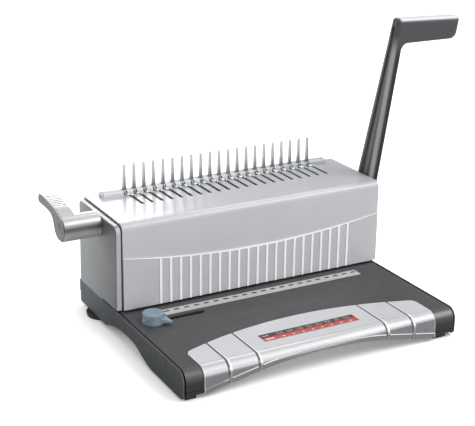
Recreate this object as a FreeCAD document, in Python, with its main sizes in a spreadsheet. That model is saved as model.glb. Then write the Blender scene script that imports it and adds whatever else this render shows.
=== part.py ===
import FreeCAD, Part, Sketcher
import math
import os

# Manual plastic-comb punch and binding machine.
# Millimetres. +X to the operator's right, -Y towards the operator, +Z up, z = 0 on the desk.

V = FreeCAD.Vector
doc = FreeCAD.newDocument("comb_binding_machine")
sheet = doc.addObject("Spreadsheet::Sheet", "Dims")
_row = [0]


class E:
    """A dimension: its value and the expression that drives it."""

    def __init__(self, value, text):
        self.v = float(value)
        self.t = text

    def __add__(self, o):
        o = w(o)
        return E(self.v + o.v, "(%s + %s)" % (self.t, o.t))

    def __radd__(self, o):
        return w(o) + self

    def __sub__(self, o):
        o = w(o)
        return E(self.v - o.v, "(%s - %s)" % (self.t, o.t))

    def __rsub__(self, o):
        return w(o) - self

    def __mul__(self, o):
        o = w(o)
        return E(self.v * o.v, "(%s * %s)" % (self.t, o.t))

    def __rmul__(self, o):
        return w(o) * self

    def __truediv__(self, o):
        o = w(o)
        return E(self.v / o.v, "(%s / %s)" % (self.t, o.t))

    def __neg__(self):
        return w(0) - self

    def __float__(self):
        return self.v


def w(o):
    return o if isinstance(o, E) else E(o, "%.7g" % float(o))


def dim(alias, value):
    """One row of the sheet: words in A, the number in B under its alias."""
    _row[0] += 1
    sheet.set("A%d" % _row[0], alias)
    sheet.set("B%d" % _row[0], "%.7g" % value)
    sheet.setAlias("B%d" % _row[0], alias)
    return E(value, "Dims." + alias)


# ---------------------------------------------------------------- driving dimensions
# comb layout: 21 rings at 9/16 inch
pitch = dim("comb_pitch", 14.2875)
n_teeth = dim("comb_count", 21)
comb_x = dim("comb_first_x", -164.9)
# base
base_left = dim("base_left", -225.8)
base_right = dim("base_right", 168.8)
base_front = dim("base_front", -163.8)
base_rear = dim("base_rear", 149.0)
panel_thk = dim("panel_thk", 2.9)
panel_top = dim("panel_top", 37.4)
panel_gap = dim("panel_gap", 2.1)
tray_top = dim("tray_top", 36.8)
tray_thk = dim("tray_thk", 2.6)
tray_round = dim("tray_round", 14.0)
tray_rear = dim("tray_rear", 29.6)
pan_low = dim("pan_low", 18.6)
pan_thk = dim("pan_thk", 2.0)
# housing
cover_left = dim("cover_left", -215.5)
cover_right = dim("cover_right", 172.6)
cover_front = dim("cover_front", 24.0)
cover_rear = dim("cover_rear", 152.4)
cover_low = dim("cover_low", 38.4)
cover_top = dim("cover_top", 154.6)
cover_thk = dim("cover_thk", 2.5)
cover_round = dim("cover_round", 9.0)
slot_w = dim("slot_width", 3.9)
slot_front = dim("slot_front_y", 87.5)
slot_back = dim("slot_back_y", 127.0)
slot_dx = dim("slot_shift_x", 6.2)
# mechanism
frame_left = dim("frame_left_x", -204.0)
frame_right = dim("frame_right_x", 157.0)
frame_thk = dim("frame_thk", 4.0)
die_front = dim("die_front_y", 30.0)
die_rear = dim("die_rear_y", 50.0)
pin_y = dim("pin_y", 40.0)
pin_w = dim("pin_w", 8.0)
pin_d = dim("pin_d", 3.0)
pin_fit = dim("pin_clearance", 0.1)
shaft_y = dim("punch_shaft_y", 81.0)
shaft_z = dim("punch_shaft_z", 88.0)
shaft_r = dim("punch_shaft_r", 6.0)
open_y = dim("opener_shaft_y", 84.0)
open_z = dim("opener_shaft_z", 137.2)
run_fit = dim("running_clearance", 0.04)
pin_mod = dim("punch_gear_module", 1.25)
pin_n = dim("punch_gear_teeth", 16)
opn_mod = dim("opener_gear_module", 1.0)
opn_n = dim("opener_gear_teeth", 22)
backlash = dim("gear_backlash", 0.3)
finger_y = dim("finger_y", 133.4)
finger_top = dim("finger_top", 197.0)
guide_x = dim("guide_knob_x", -195.3)
guide_y = dim("guide_slot_y", -20.0)
handle_x = dim("handle_left_x", 174.5)
handle_thk = dim("handle_thk", 14.2)
grip_end = dim("grip_end_x", 277.0)
lever_x = dim("lever_left_x", -275.5)
lever_w = dim("lever_width", 20.0)
doc.recompute()

nodes = {}


def bind(obj, prop, value):
    value = w(value)
    obj.setExpression(prop, value.t)
    return value.v


# ---------------------------------------------------------------- PartDesign helpers
PLANES = {"XY": "XY_Plane", "XZ": "XZ_Plane", "YZ": "YZ_Plane"}
_count = [0]


def body(label):
    b = doc.addObject("PartDesign::Body", "Body_" + label)
    b.Label = label
    nodes[label] = b
    return b


def three_point(a, m_, c):
    """Centre, radius and counter-clockwise angles of the arc a, m_, c, and whether a to c runs that way."""
    ax, ay, bx, by, cx, cy = a.x, a.y, m_.x, m_.y, c.x, c.y
    d = 2 * (ax * (by - cy) + bx * (cy - ay) + cx * (ay - by))
    ux = ((ax * ax + ay * ay) * (by - cy) + (bx * bx + by * by) * (cy - ay) + (cx * cx + cy * cy) * (ay - by)) / d
    uy = ((ax * ax + ay * ay) * (cx - bx) + (bx * bx + by * by) * (ax - cx) + (cx * cx + cy * cy) * (bx - ax)) / d
    cc = V(ux, uy, 0)
    forward = (bx - ax) * (cy - ay) - (by - ay) * (cx - ax) > 0
    first, last = (a, c) if forward else (c, a)
    a0 = math.atan2(first.y - uy, first.x - ux)
    a1 = math.atan2(last.y - uy, last.x - ux)
    if a1 <= a0:
        a1 += 2 * math.pi
    return cc, (a - cc).Length, a0, a1, forward


def sketch(b, plane, offset, loops):
    """Closed loops on an origin plane of the body. A loop is ("circle", x, y, r) or a list whose first
    entry is a point and whose others are a point (line), ("arc", mid, end) or ("spline", [points..., end])."""
    _count[0] += 1
    s = b.newObject("Sketcher::SketchObject", "Sketch_%s_%03d" % (b.Label, _count[0]))
    role = PLANES[plane]
    s.AttachmentSupport = [([f for f in b.Origin.OriginFeatures if f.Role == role][0], "")]
    s.MapMode = "FlatFace"
    offset = w(offset)
    s.AttachmentOffset = FreeCAD.Placement(V(0, 0, offset.v), FreeCAD.Rotation())
    s.setExpression("AttachmentOffset.Base.z", offset.t)
    for loop in loops:
        if loop[0] == "circle":
            x, y, r = [w(q) for q in loop[1:]]
            g = s.addGeometry(Part.Circle(V(x.v, y.v, 0), V(0, 0, 1), r.v), False)
            for kind, value in (("DistanceX", x), ("DistanceY", y)):
                k = s.addConstraint(Sketcher.Constraint(kind, -1, 1, g, 3, value.v))
                s.setExpression("Constraints[%d]" % k, value.t)
            k = s.addConstraint(Sketcher.Constraint("Radius", g, r.v))
            s.setExpression("Constraints[%d]" % k, r.t)
            continue
        start = (w(loop[0][0]), w(loop[0][1]))
        here = start
        segs = []
        for item in loop[1:]:
            if item[0] == "arc":
                end = (w(item[2][0]), w(item[2][1]))
                segs.append(("arc", here, (w(item[1][0]), w(item[1][1])), end))
            elif item[0] == "spline":
                pts = [(w(p[0]), w(p[1])) for p in item[1]]
                end = pts[-1]
                segs.append(("spline", here, pts, end))
            else:
                end = (w(item[0]), w(item[1]))
                segs.append(("line", here, None, end))
            here = end
        if abs(here[0].v - start[0].v) > 1e-7 or abs(here[1].v - start[1].v) > 1e-7:
            segs.append(("line", here, None, start))
        ends = []
        for kind, a, mid, c in segs:
            pa, pc = V(a[0].v, a[1].v, 0), V(c[0].v, c[1].v, 0)
            if kind == "line":
                g = s.addGeometry(Part.LineSegment(pa, pc), False)
                ends.append((g, 1, 2))
            elif kind == "arc":
                cc, rr, a0, a1, forward = three_point(pa, V(mid[0].v, mid[1].v, 0), pc)
                g = s.addGeometry(Part.ArcOfCircle(Part.Circle(cc, V(0, 0, 1), rr), a0, a1), False)
                ends.append((g, 1, 2) if forward else (g, 2, 1))
                if (pa - pc).Length < 1.98 * rr:
                    s.addConstraint(Sketcher.Constraint("Radius", g, rr))
            else:
                bs = Part.BSplineCurve()
                bs.interpolate([pa] + [V(p[0].v, p[1].v, 0) for p in mid])
                g = s.addGeometry(bs, False)
                ends.append((g, 1, 2))
        n = len(segs)
        for i in range(n):
            s.addConstraint(Sketcher.Constraint("Coincident", ends[i][0], ends[i][2],
                                                ends[(i + 1) % n][0], ends[(i + 1) % n][1]))
        for i, (kind, a, mid, c) in enumerate(segs):
            for ck, value in (("DistanceX", a[0]), ("DistanceY", a[1])):
                k = s.addConstraint(Sketcher.Constraint(ck, -1, 1, ends[i][0], ends[i][1], value.v))
                s.setExpression("Constraints[%d]" % k, value.t)
    return s


def pad(b, plane, lo, hi, loops):
    """Extrude from the coordinate lo to hi along the plane's world axis."""
    lo, hi = w(lo), w(hi)
    s = sketch(b, plane, lo if plane != "XZ" else -hi, loops)
    f = b.newObject("PartDesign::Pad", "Pad_%s_%03d" % (b.Label, _count[0]))
    f.Profile = s
    f.Length = bind(f, "Length", hi - lo)
    s.Visibility = False
    doc.recompute()
    return f


def pocket(b, plane, lo, hi, loops):
    """Cut from hi down to lo (for XZ, from the front lo back to hi), and test that something was cut."""
    lo, hi = w(lo), w(hi)
    before = b.Shape.Volume
    s = sketch(b, plane, hi if plane != "XZ" else -lo, loops)
    f = b.newObject("PartDesign::Pocket", "Pocket_%s_%03d" % (b.Label, _count[0]))
    f.Profile = s
    f.Length = bind(f, "Length", hi - lo)
    s.Visibility = False
    doc.recompute()
    if not b.Shape.Volume < before - 1e-3:
        raise RuntimeError("pocket cut nothing in " + b.Label)
    return f


def linear(b, features, plane_axis, length, count):
    f = b.newObject("PartDesign::LinearPattern", "Pattern_%s_%03d" % (b.Label, _count[0]))
    _count[0] += 1
    f.Originals = features
    axis = [o for o in b.Origin.OriginFeatures if o.Role == plane_axis][0]
    f.Direction = (axis, [""])
    f.Length = bind(f, "Length", length)
    f.Occurrences = int(round(w(count).v))
    f.setExpression("Occurrences", w(count).t)
    b.Tip = f
    doc.recompute()
    return f


def edges_where(shape, test):
    return ["Edge%d" % (i + 1) for i, e in enumerate(shape.Edges) if test(e)]


def fillet(b, radius, test, kind="PartDesign::Fillet", must=True):
    base = b.Tip
    names = edges_where(base.Shape, test)
    if not names:
        if must:
            raise RuntimeError("no edge to round in " + b.Label)
        return None
    f = b.newObject(kind, "Round_%s_%03d" % (b.Label, _count[0]))
    _count[0] += 1
    f.Base = (base, names)
    if kind.endswith("Fillet"):
        f.Radius = bind(f, "Radius", radius)
    else:
        f.Size = bind(f, "Size", radius)
    doc.recompute()
    if "Invalid" in f.State or "Error" in f.State or f.Shape.isNull() or not f.Shape.isValid():
        b.removeObject(f)
        doc.removeObject(f.Name)
        b.Tip = base
        doc.recompute()
        print("edge rounding left off:", b.Label, float(w(radius)), len(names))
        return None
    return f


def along(e, axis, tol=1e-4):
    bb = e.BoundBox
    size = (bb.XLength, bb.YLength, bb.ZLength)
    k = "XYZ".index(axis)
    return size[k] > 0.5 and all(size[j] < tol for j in range(3) if j != k)


def at(e, x=None, y=None, z=None, tol=1e-3):
    bb = e.BoundBox
    for lo, hi, val in ((bb.XMin, bb.XMax, x), (bb.YMin, bb.YMax, y), (bb.ZMin, bb.ZMax, z)):
        if val is not None and (abs(lo - float(w(val))) > tol or abs(hi - float(w(val))) > tol):
            return False
    return True


# ---------------------------------------------------------------- Part helpers
def place(o, x, y, z, rotation=None):
    x, y, z = w(x), w(y), w(z)
    o.Placement = FreeCAD.Placement(V(x.v, y.v, z.v), rotation or FreeCAD.Rotation())
    o.setExpression("Placement.Base.x", x.t)
    o.setExpression("Placement.Base.y", y.t)
    o.setExpression("Placement.Base.z", z.t)


def box(name, x0, x1, y0, y1, z0, z1):
    x0, x1, y0, y1, z0, z1 = [w(q) for q in (x0, x1, y0, y1, z0, z1)]
    o = doc.addObject("Part::Box", name)
    o.Length = bind(o, "Length", x1 - x0)
    o.Width = bind(o, "Width", y1 - y0)
    o.Height = bind(o, "Height", z1 - z0)
    place(o, x0, y0, z0)
    return o


def rod(name, axis, r, lo, hi, c1, c2):
    """Cylinder along axis from lo to hi, centred at the other two coordinates in X, Y, Z order."""
    r, lo, hi, c1, c2 = [w(q) for q in (r, lo, hi, c1, c2)]
    o = doc.addObject("Part::Cylinder", name)
    o.Radius = bind(o, "Radius", r)
    o.Height = bind(o, "Height", hi - lo)
    if axis == "X":
        place(o, lo, c1, c2, FreeCAD.Rotation(V(0, 1, 0), 90))
    elif axis == "Y":
        place(o, c1, lo, c2, FreeCAD.Rotation(V(1, 0, 0), -90))
    else:
        place(o, c1, c2, lo)
    return o


def cone(name, axis, r0, r1, lo, hi, c1, c2):
    r0, r1, lo, hi, c1, c2 = [w(q) for q in (r0, r1, lo, hi, c1, c2)]
    o = doc.addObject("Part::Cone", name)
    o.Radius1 = bind(o, "Radius1", r0)
    o.Radius2 = bind(o, "Radius2", r1)
    o.Height = bind(o, "Height", hi - lo)
    if axis == "X":
        place(o, lo, c1, c2, FreeCAD.Rotation(V(0, 1, 0), 90))
    elif axis == "Y":
        place(o, c1, lo, c2, FreeCAD.Rotation(V(1, 0, 0), -90))
    else:
        place(o, c1, c2, lo)
    return o


def fuse(name, parts):
    o = doc.addObject("Part::MultiFuse", name)
    o.Shapes = parts
    o.Refine = True
    return o


def cut(name, base, tool):
    o = doc.addObject("Part::Cut", name)
    o.Base = base
    o.Tool = tool
    return o


def common(name, base, tool):
    o = doc.addObject("Part::Common", name)
    o.Base = base
    o.Tool = tool
    return o


def node(label, o):
    o.Label = label
    nodes[label] = o
    return o


def solid_node(label, shape):
    """A node whose shape no sketch or primitive makes, such as a gear."""
    o = doc.addObject("Part::Feature", "Shape_" + label)
    o.Shape = shape
    o.Placement = FreeCAD.Placement(V(0, 0, 0), FreeCAD.Rotation())
    return node(label, o)


# ================================================================ BASE
# pressed steel pan that everything stands on
pan_l, pan_r = base_left + panel_thk, base_right - panel_thk
b = body("base_pan")
pad(b, "XY", pan_low, pan_low + pan_thk, [[
    (pan_l, base_rear - 1), (pan_l, base_front + 5), (pan_l + 27, base_front + 5), (pan_l + 27, base_front + 24),
    (pan_r - 27, base_front + 24), (pan_r - 27, base_front + 5), (pan_r, base_front + 5), (pan_r, base_rear - 1)]])
pocket(b, "XY", pan_low - 1, pan_low + pan_thk + 1, [[
    (comb_x - 7, die_front + 4), (comb_x + pitch * 20 + 7, die_front + 4),
    (comb_x + pitch * 20 + 7, die_rear - 4), (comb_x - 7, die_rear - 4)]])
foot_pts = [(-213.2, -152.2), (147.2, -152.2), (-207.0, 107.7), (153.0, 107.7)]
pocket(b, "XY", pan_low - 1, pan_low + pan_thk + 1, [("circle", x, y, 1.8) for x, y in foot_pts])

# side panels, one profile: level top, rounded front, arched underside
def side_profile():
    return [(base_rear, panel_top), (base_rear, 8.0), (base_rear - 2.4, 5.6), (63.0, 5.0),
            ("spline", [(55.0, 7.6), (44.3, 11.2), (32.0, 14.6), (20.0, 16.8), (8.0, 17.9), (-4.0, 18.0),
                        (-16.0, 17.5), (-27.0, 16.6), (-36.0, 14.6), (-45.0, 11.4), (-53.5, 8.3),
                        (-62.0, 5.9), (-70.5, 4.0), (-80.0, 2.8)]),
            (base_front + 6, 2.2), ("arc", (base_front + 1.6, 3.9), (base_front, 8.0)), (base_front, panel_top)]


for label, x0, x1, outer in (("left_side_panel", base_left, pan_l, base_left),
                             ("right_side_panel", pan_r, base_right, base_right)):
    b = body(label)
    pad(b, "YZ", x0, x1, [side_profile()])
    fillet(b, tray_round, lambda e: along(e, "X") and at(e, y=base_front, z=panel_top))
    fillet(b, 1.1, lambda e: at(e, x=outer))

# trim outline and front arch, used by tray and trim
trim_l, trim_r = dim("trim_left", -197.5), dim("trim_right", 136.0)
trim_mid = (trim_l + trim_r) / 2
trim_back = dim("trim_crown_y", -85.2)
trim_corner = dim("trim_corner_y", -117.4)
arch_top = dim("arch_top", 25.7)
arch_side = dim("arch_side", 16.6)
arch_foot = dim("arch_foot", 4.2)
arch_half = dim("arch_half", 100.0)


def arch_loop(raise_by, x_pad=0.0):
    """Front arch as a region below the curve, down past the bottom."""
    return [(trim_l - x_pad, arch_foot + raise_by), (trim_mid - arch_half, arch_side + raise_by),
            ("arc", (trim_mid, arch_top + raise_by), (trim_mid + arch_half, arch_side + raise_by)),
            (trim_r + x_pad, arch_foot + raise_by), (trim_r + x_pad, -30), (trim_l - x_pad, -30)]


def front_shell(b, x0, x1, proud, inner, rear, low):
    """Shell that runs level and turns down over the front edge: outer skin raised by proud, inner skin
    inner below the tray surface."""
    zt, yf = tray_top + proud, base_front - proud
    zi, yi = tray_top - inner, base_front + inner
    pad(b, "YZ", x0, x1, [[(rear, zi), (rear, zt), (yf, zt), (yf, low), (yi, low), (yi, zi)]])
    fillet(b, tray_round - inner, lambda e: along(e, "X") and at(e, y=yi, z=zi))
    fillet(b, tray_round + proud, lambda e: along(e, "X") and at(e, y=yf, z=zt))


tray_l, tray_r = pan_l + panel_gap, pan_r - 0.6
b = body("tray_cover")
front_shell(b, tray_l, tray_r, w(0), tray_thk, tray_rear, dim("skirt_low", 6.0))
# front wall: arched under the trim, and a skirt line on the two dark ends
pocket(b, "XZ", base_front - 2, base_front + 30, [arch_loop(0.6)])
pocket(b, "XZ", base_front - 2, base_front + 0.7, [[(tray_l - 1, 10.6), (trim_l - 3, 10.6), (trim_l - 3, 11.2), (tray_l - 1, 11.2)]])
pocket(b, "XZ", base_front - 2, base_front + 0.7, [[(trim_r + 3, 10.6), (tray_r + 1, 10.6), (tray_r + 1, 11.2), (trim_r + 3, 11.2)]])
# slot of the edge guide
slot_lo, slot_hi, slot_mid = guide_y - 3.2, guide_y + 5.2, guide_y + 1.0
pocket(b, "XY", tray_top - 8, tray_top + 2, [[
    (guide_x - 9, slot_lo), (-127.5, slot_lo), ("arc", (-123.3, slot_mid), (-127.5, slot_hi)),
    (guide_x - 9, slot_hi), ("arc", (guide_x - 13.2, slot_mid), (guide_x - 9, slot_lo))]])
# recess of the hole ruler
rul_l, rul_r, rul_f, rul_b = dim("ruler_left", -172.0), dim("ruler_right", 126.0), dim("ruler_front", -8.4), dim("ruler_back", 8.2)
pocket(b, "XY", tray_top - 0.5, tray_top + 1, [[(rul_l - 0.2, rul_f - 0.2), (rul_r + 0.2, rul_f - 0.2),
                                              (rul_r + 0.2, rul_b + 0.2), (rul_l - 0.2, rul_b + 0.2)]])
tray_body = b


def trim_outline(gap):
    r = 9.0
    return [(trim_l - gap, base_front - 12), (trim_r + gap, base_front - 12),
            (trim_r + gap, trim_corner - 5.0), ("arc", (trim_r + gap - 1.4, trim_corner - 0.4 + gap * 0.5), (trim_r - 5.2, trim_corner + 3.0 + gap)),
            ("arc", (trim_mid, trim_back + gap), (trim_l + 5.2, trim_corner + 3.0 + gap)),
            ("arc", (trim_l - gap + 1.4, trim_corner - 0.4 + gap * 0.5), (trim_l - gap, trim_corner - 5.0))]


# recess of the trim in the tray: the tray's skin is 1.3 mm lower there
b = body("trim_recess_tool")
tool = b
zt, yf = tray_top + 6, base_front - 6
zi, yi = tray_top - 1.3, base_front + 1.3
pad(b, "YZ", trim_l - 1.0, trim_r + 1.0, [[(-80, zi), (-80, zt), (yf, zt), (yf, -2), (yi, -2), (yi, zi)]])
fillet(b, tray_round - 1.3, lambda e: along(e, "X") and at(e, y=yi, z=zi))
b2 = body("trim_outline_tool")
pad(b2, "XY", -5, 60, [trim_outline(1.0)])
del nodes["trim_recess_tool"], nodes["trim_outline_tool"]
recess = common("trim_recess", tool, b2)
node("tray_cover", cut("tray_with_recess", tray_body, recess))
tray_body.Label = "tray_shell"
doc.recompute()

# silver trim over the front edge
b = body("front_trim")
front_shell(b, trim_l, trim_r, w(1.0), w(1.3), w(-80), w(4.0))
zq = -20
# everything outside the rounded outline goes
pocket(b, "XY", -20, 60, [[(trim_l - 5, -70), (trim_r + 5, -70), (trim_r + 5, trim_corner - 5.0), (trim_r, trim_corner - 5.0),
                           ("arc", (trim_r - 1.4, trim_corner - 0.4), (trim_r - 5.2, trim_corner + 3.0)),
                           ("arc", (trim_mid, trim_back), (trim_l + 5.2, trim_corner + 3.0)),
                           ("arc", (trim_l + 1.4, trim_corner - 0.4), (trim_l, trim_corner - 5.0)), (trim_l - 5, trim_corner - 5.0)]])
# lower lip, 0.8 mm proud, along the arch
pad(b, "XZ", base_front - 1.8, base_front - 0.6, [[
    (trim_l, 4.0), (trim_l, arch_foot + 6.4), (trim_mid - arch_half, arch_side + 6.4),
    ("arc", (trim_mid, arch_top + 6.4), (trim_mid + arch_half, arch_side + 6.4)), (trim_r, arch_foot + 6.4), (trim_r, 4.0)]])
pocket(b, "XZ", base_front - 5, base_front + 30, [arch_loop(w(0), 3.0)])
# recess of the size label
pocket(b, "XY", tray_top + 0.6, tray_top + 3, [[(-100.5, -136), (38.5, -136), (38.5, -116), (-100.5, -116)]])
trim_body = b
fillet(b, 0.5, lambda e: e.BoundBox.ZMin > 37.7 and e.BoundBox.YMin < -85 and not along(e, "Y") and e.BoundBox.YMax > -117.0
       and e.BoundBox.XLength > 150, must=False)


# four joints across the trim: a step on the left that ramps up to the right
def seam_tool(x, width, depth):
    """Wedge between the outer skin and a skin that is depth lower at x and level with it at x + width."""
    rings = []
    for xx, dd in ((x, depth), (x + width, 0.02)):
        zo, yo = tray_top.v + 1.0 - dd, base_front.v - 1.0 + dd
        r = tray_round.v + 1.0 - dd
        z5, y5 = tray_top.v + 5.0, base_front.v - 5.0
        k = r * (1 - math.sqrt(0.5))
        e = [Part.LineSegment(V(xx, -70, zo), V(xx, yo + r, zo)).toShape(),
             Part.Arc(V(xx, yo + r, zo), V(xx, yo + k, zo - k), V(xx, yo, zo - r)).toShape(),
             Part.LineSegment(V(xx, yo, zo - r), V(xx, yo, -5)).toShape(),
             Part.LineSegment(V(xx, yo, -5), V(xx, y5, -5)).toShape(),
             Part.LineSegment(V(xx, y5, -5), V(xx, y5, z5)).toShape(),
             Part.LineSegment(V(xx, y5, z5), V(xx, -70, z5)).toShape(),
             Part.LineSegment(V(xx, -70, z5), V(xx, -70, zo)).toShape()]
        rings.append(Part.Wire(e))
    return Part.makeLoft(rings, True, True)


seam_x = [-165.5, -124.5, 59.5, 99.5]
seams = doc.addObject("Part::Feature", "trim_seams")
seams.Shape = Part.makeCompound([seam_tool(x, 5.0, 1.0) for x in seam_x])
node("front_trim", cut("trim_with_seams", trim_body, seams))
trim_body.Label = "trim_shell"

node("size_label", box("size_label_plate", -100.1, 38.1, -135.6, -116.4, tray_top + 0.6, tray_top + 1.1))

b = body("hole_ruler")
pad(b, "XY", tray_top - 0.5, tray_top + 0.1, [[(rul_l, rul_f), (rul_r, rul_f), (rul_r, rul_b), (rul_l, rul_b)]])
dash = pocket(b, "XY", tray_top - 1, tray_top + 1, [[(comb_x - 4.8, 1.0), (comb_x + 2.4, 1.0), (comb_x + 2.4, 4.0), (comb_x - 4.8, 4.0)]])
linear(b, [dash], "X_Axis", pitch * 20, n_teeth)

# feet: rubber, screwed up into the pan; the rear ones stand on a round flange that reaches out under the panels
def bored(name, blank, x, y):
    hole = fuse(name + "_holes", [rod(name + "_bore", "Z", 1.8, -1, 25, x, y), rod(name + "_head", "Z", 4.2, -1, 9, x, y)])
    return cut(name + "_bored", blank, hole)


def front_foot(name, x, y, half_x, half_y):
    top = doc.addObject("Part::Wedge", name)
    for prop, val in (("Xmin", -half_x + 2.2), ("Xmax", half_x - 2.2), ("Zmin", -half_y + 1.6), ("Zmax", half_y - 0.8),
                      ("X2min", -half_x), ("X2max", half_x), ("Z2min", -half_y), ("Z2max", half_y),
                      ("Ymin", 0.0), ("Ymax", pan_low)):
        setattr(top, prop, w(val).v)
        bind(top, prop, val)
    place(top, x, y, 0, FreeCAD.Rotation(V(1, 0, 0), 90))
    return bored(name, top, x, y)


def rear_foot(name, x, y, flange_x, x0, x1, reach0, reach1):
    block = box(name + "_block", x0, x1, y - 15.0, y + 15.0, 0, pan_low)
    flange = common(name + "_flange", cone(name + "_disc", "Z", 22.4, 23.3, 0, 4.6, flange_x, y),
                    box(name + "_reach", reach0, reach1, y - 30, y + 30, -1, 10))
    return bored(name, fuse(name, [block, flange]), x, y)


feet = [front_foot("foot_0", foot_pts[0][0], foot_pts[0][1], 9.2, 8.6), front_foot("foot_1", foot_pts[1][0], foot_pts[1][1], 11.4, 8.6),
        rear_foot("foot_2", foot_pts[2][0], foot_pts[2][1], -209.4, -221.5, -191.0, -240.0, -190.4),
        rear_foot("foot_3", foot_pts[3][0], foot_pts[3][1], 151.0, 143.4, 163.4, 142.6, 180.0)]
c = doc.addObject("Part::Compound", "front_feet_pair")
c.Links = feet[:2]
node("front_feet", c)
c = doc.addObject("Part::Compound", "rear_feet_pair")
c.Links = feet[2:]
node("rear_feet", c)


def screw_solid(axis, head_r, head_h, shank_r, length, x, y, z, flip=False):
    """Pan-head screw; the head's top is at the point, the shank goes along +axis (or -axis)."""
    d = {"X": V(1, 0, 0), "Y": V(0, 1, 0), "Z": V(0, 0, 1)}[axis]
    if flip:
        d = -d
    p = V(x, y, z)
    head = Part.makeCylinder(head_r, head_h, p, d)
    head = head.makeFillet(head_h * 0.45, [e for e in head.Edges if isinstance(e.Curve, Part.Circle)
                                           and (e.CenterOfMass - p).Length < 1e-3])
    shank = Part.makeCylinder(shank_r, length, p + d * (head_h - 0.01), d)
    s = head.fuse(shank).removeSplitter()
    rot = FreeCAD.Rotation(V(0, 0, 1), d)
    for a in (0, 90):
        bar = Part.makeBox(head_r * 1.15, 0.75, 1.3, V(-head_r * 0.575, -0.375, -0.1))
        bar.Placement = FreeCAD.Placement(p, rot.multiply(FreeCAD.Rotation(V(0, 0, 1), a)))
        s = s.cut(bar)
    return s


solid_node("foot_screws", Part.makeCompound([screw_solid("Z", 3.6, 2.4, 1.75, 11.0, x, y, 6.6) for x, y in foot_pts]))

# ================================================================ HOUSING
b = body("main_cover")
cf = cover_front + 1.0
pad(b, "YZ", cover_left, cover_right, [[
    (cf, cover_low), (cf, cover_top), (cover_rear, cover_top), (cover_rear, 128.0),
    (cover_rear - cover_thk, 128.0), (cover_rear - cover_thk, cover_top - cover_thk),
    (cf + cover_thk, cover_top - cover_thk), (cf + cover_thk, cover_low)]])
fillet(b, cover_round - cover_thk, lambda e: along(e, "X") and at(e, y=cf + cover_thk, z=cover_top - cover_thk))
fillet(b, cover_round, lambda e: along(e, "X") and at(e, y=cf, z=cover_top))
fillet(b, 3.5, lambda e: along(e, "X") and at(e, y=cover_rear - cover_thk, z=cover_top - cover_thk))
fillet(b, 6.0, lambda e: along(e, "X") and at(e, y=cover_rear, z=cover_top))
# lower field under the sweeping line, 1 mm proud of the wall
smile_end, smile_mid = dim("smile_end_z", 110.0), dim("smile_mid_z", 95.2)
pad(b, "XZ", cover_front, cf + 0.5, [[
    (cover_left, cover_low), (cover_left, smile_end), ("arc", ((cover_left + cover_right) / 2, smile_mid), (cover_right, smile_end)),
    (cover_right, cover_low)]])
# slots of the hooks, and holes of the comb fingers
sx = comb_x + slot_dx
slot = pocket(b, "XY", cover_top - 6, cover_top + 1, [[
    (sx - slot_w / 2, slot_front + slot_w / 2), ("arc", (sx, slot_front), (sx + slot_w / 2, slot_front + slot_w / 2)),
    (sx + slot_w / 2, slot_back - slot_w / 2), ("arc", (sx, slot_back), (sx - slot_w / 2, slot_back - slot_w / 2))]])
linear(b, [slot], "X_Axis", pitch * 20, n_teeth)
fh = pocket(b, "XY", cover_top - 6, cover_top + 1, [[
    (comb_x - 3.0, finger_y - 2.5), (comb_x + 3.0, finger_y - 2.5), (comb_x + 3.0, finger_y + 2.5), (comb_x - 3.0, finger_y + 2.5)]])
linear(b, [fh], "X_Axis", pitch * 20, n_teeth)
# screw holes in the rear lip
pocket(b, "XZ", cover_rear - 6, cover_rear + 1, [("circle", x, 133.0, 1.6) for x in (-190.0, -21.5, 147.0)])

# pale ribs on the field, hung from a bar that follows the sweeping line and thins out to its ends
rib_proud, rib_w, rib_x = dim("rib_proud", 0.9), dim("rib_width", 2.9), dim("rib_first_x", -163.6)
rib_face, rib_last = cover_front - rib_proud, rib_x + pitch * 20
smile_x = (cover_left + cover_right) / 2
b = body("front_ribs")
pad(b, "XZ", rib_face, cover_front, [[
    (rib_x - rib_w / 2, cover_low + 0.2), (rib_x - rib_w / 2, 103.6), ("arc", (smile_x, smile_mid - 1.2), (rib_last + rib_w / 2, 103.6 + 0.0)),
    (rib_last + rib_w / 2, cover_low + 0.2)]])
strip = pocket(b, "XZ", rib_face - 1, cover_front + 1, [[(rib_x + rib_w / 2, 30), (rib_x + pitch - rib_w / 2, 30), (rib_x + pitch - rib_w / 2, 125), (rib_x + rib_w / 2, 125)]])
linear(b, [strip], "X_Axis", pitch * 19, n_teeth - 1)
pad(b, "XZ", rib_face, cover_front, [[
    (cover_left + 0.3, smile_end - 0.9), ("arc", (smile_x, smile_mid - 2.5), (cover_right - 0.3, smile_end - 0.9)), (cover_right - 0.3, smile_end - 0.1),
    ("arc", (smile_x, smile_mid), (cover_left + 0.3, smile_end - 0.1))]])

b = body("rear_cover")
pad(b, "XZ", cover_rear - cover_thk - 2.0, cover_rear - cover_thk, [[(-211.5, 37.8), (166.0, 37.8), (166.0, 146.0), (-211.5, 146.0)]])
pad(b, "XZ", cover_rear - cover_thk, cover_rear, [[(cover_left + 0.4, 37.8), (cover_right - 0.4, 37.8), (cover_right - 0.4, 127.6), (cover_left + 0.4, 127.6)]])
pocket(b, "XZ", cover_rear - 8, cover_rear + 1, [("circle", x, 133.0, 1.3) for x in (-190.0, -21.5, 147.0)])
b = body("base_rear_wall")
pad(b, "XZ", base_rear, base_rear + 2.4, [[(base_left + 0.6, 20.9), (base_right - 0.6, 20.9), (base_right - 0.6, 37.4), (base_left + 0.6, 37.4)]])
solid_node("rear_screws", Part.makeCompound([screw_solid("Y", 3.0, 1.8, 1.25, 4.2, x, cover_rear.v + 1.8, 133.0, True) for x in (-190.0, -21.5, 147.0)]))

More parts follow.
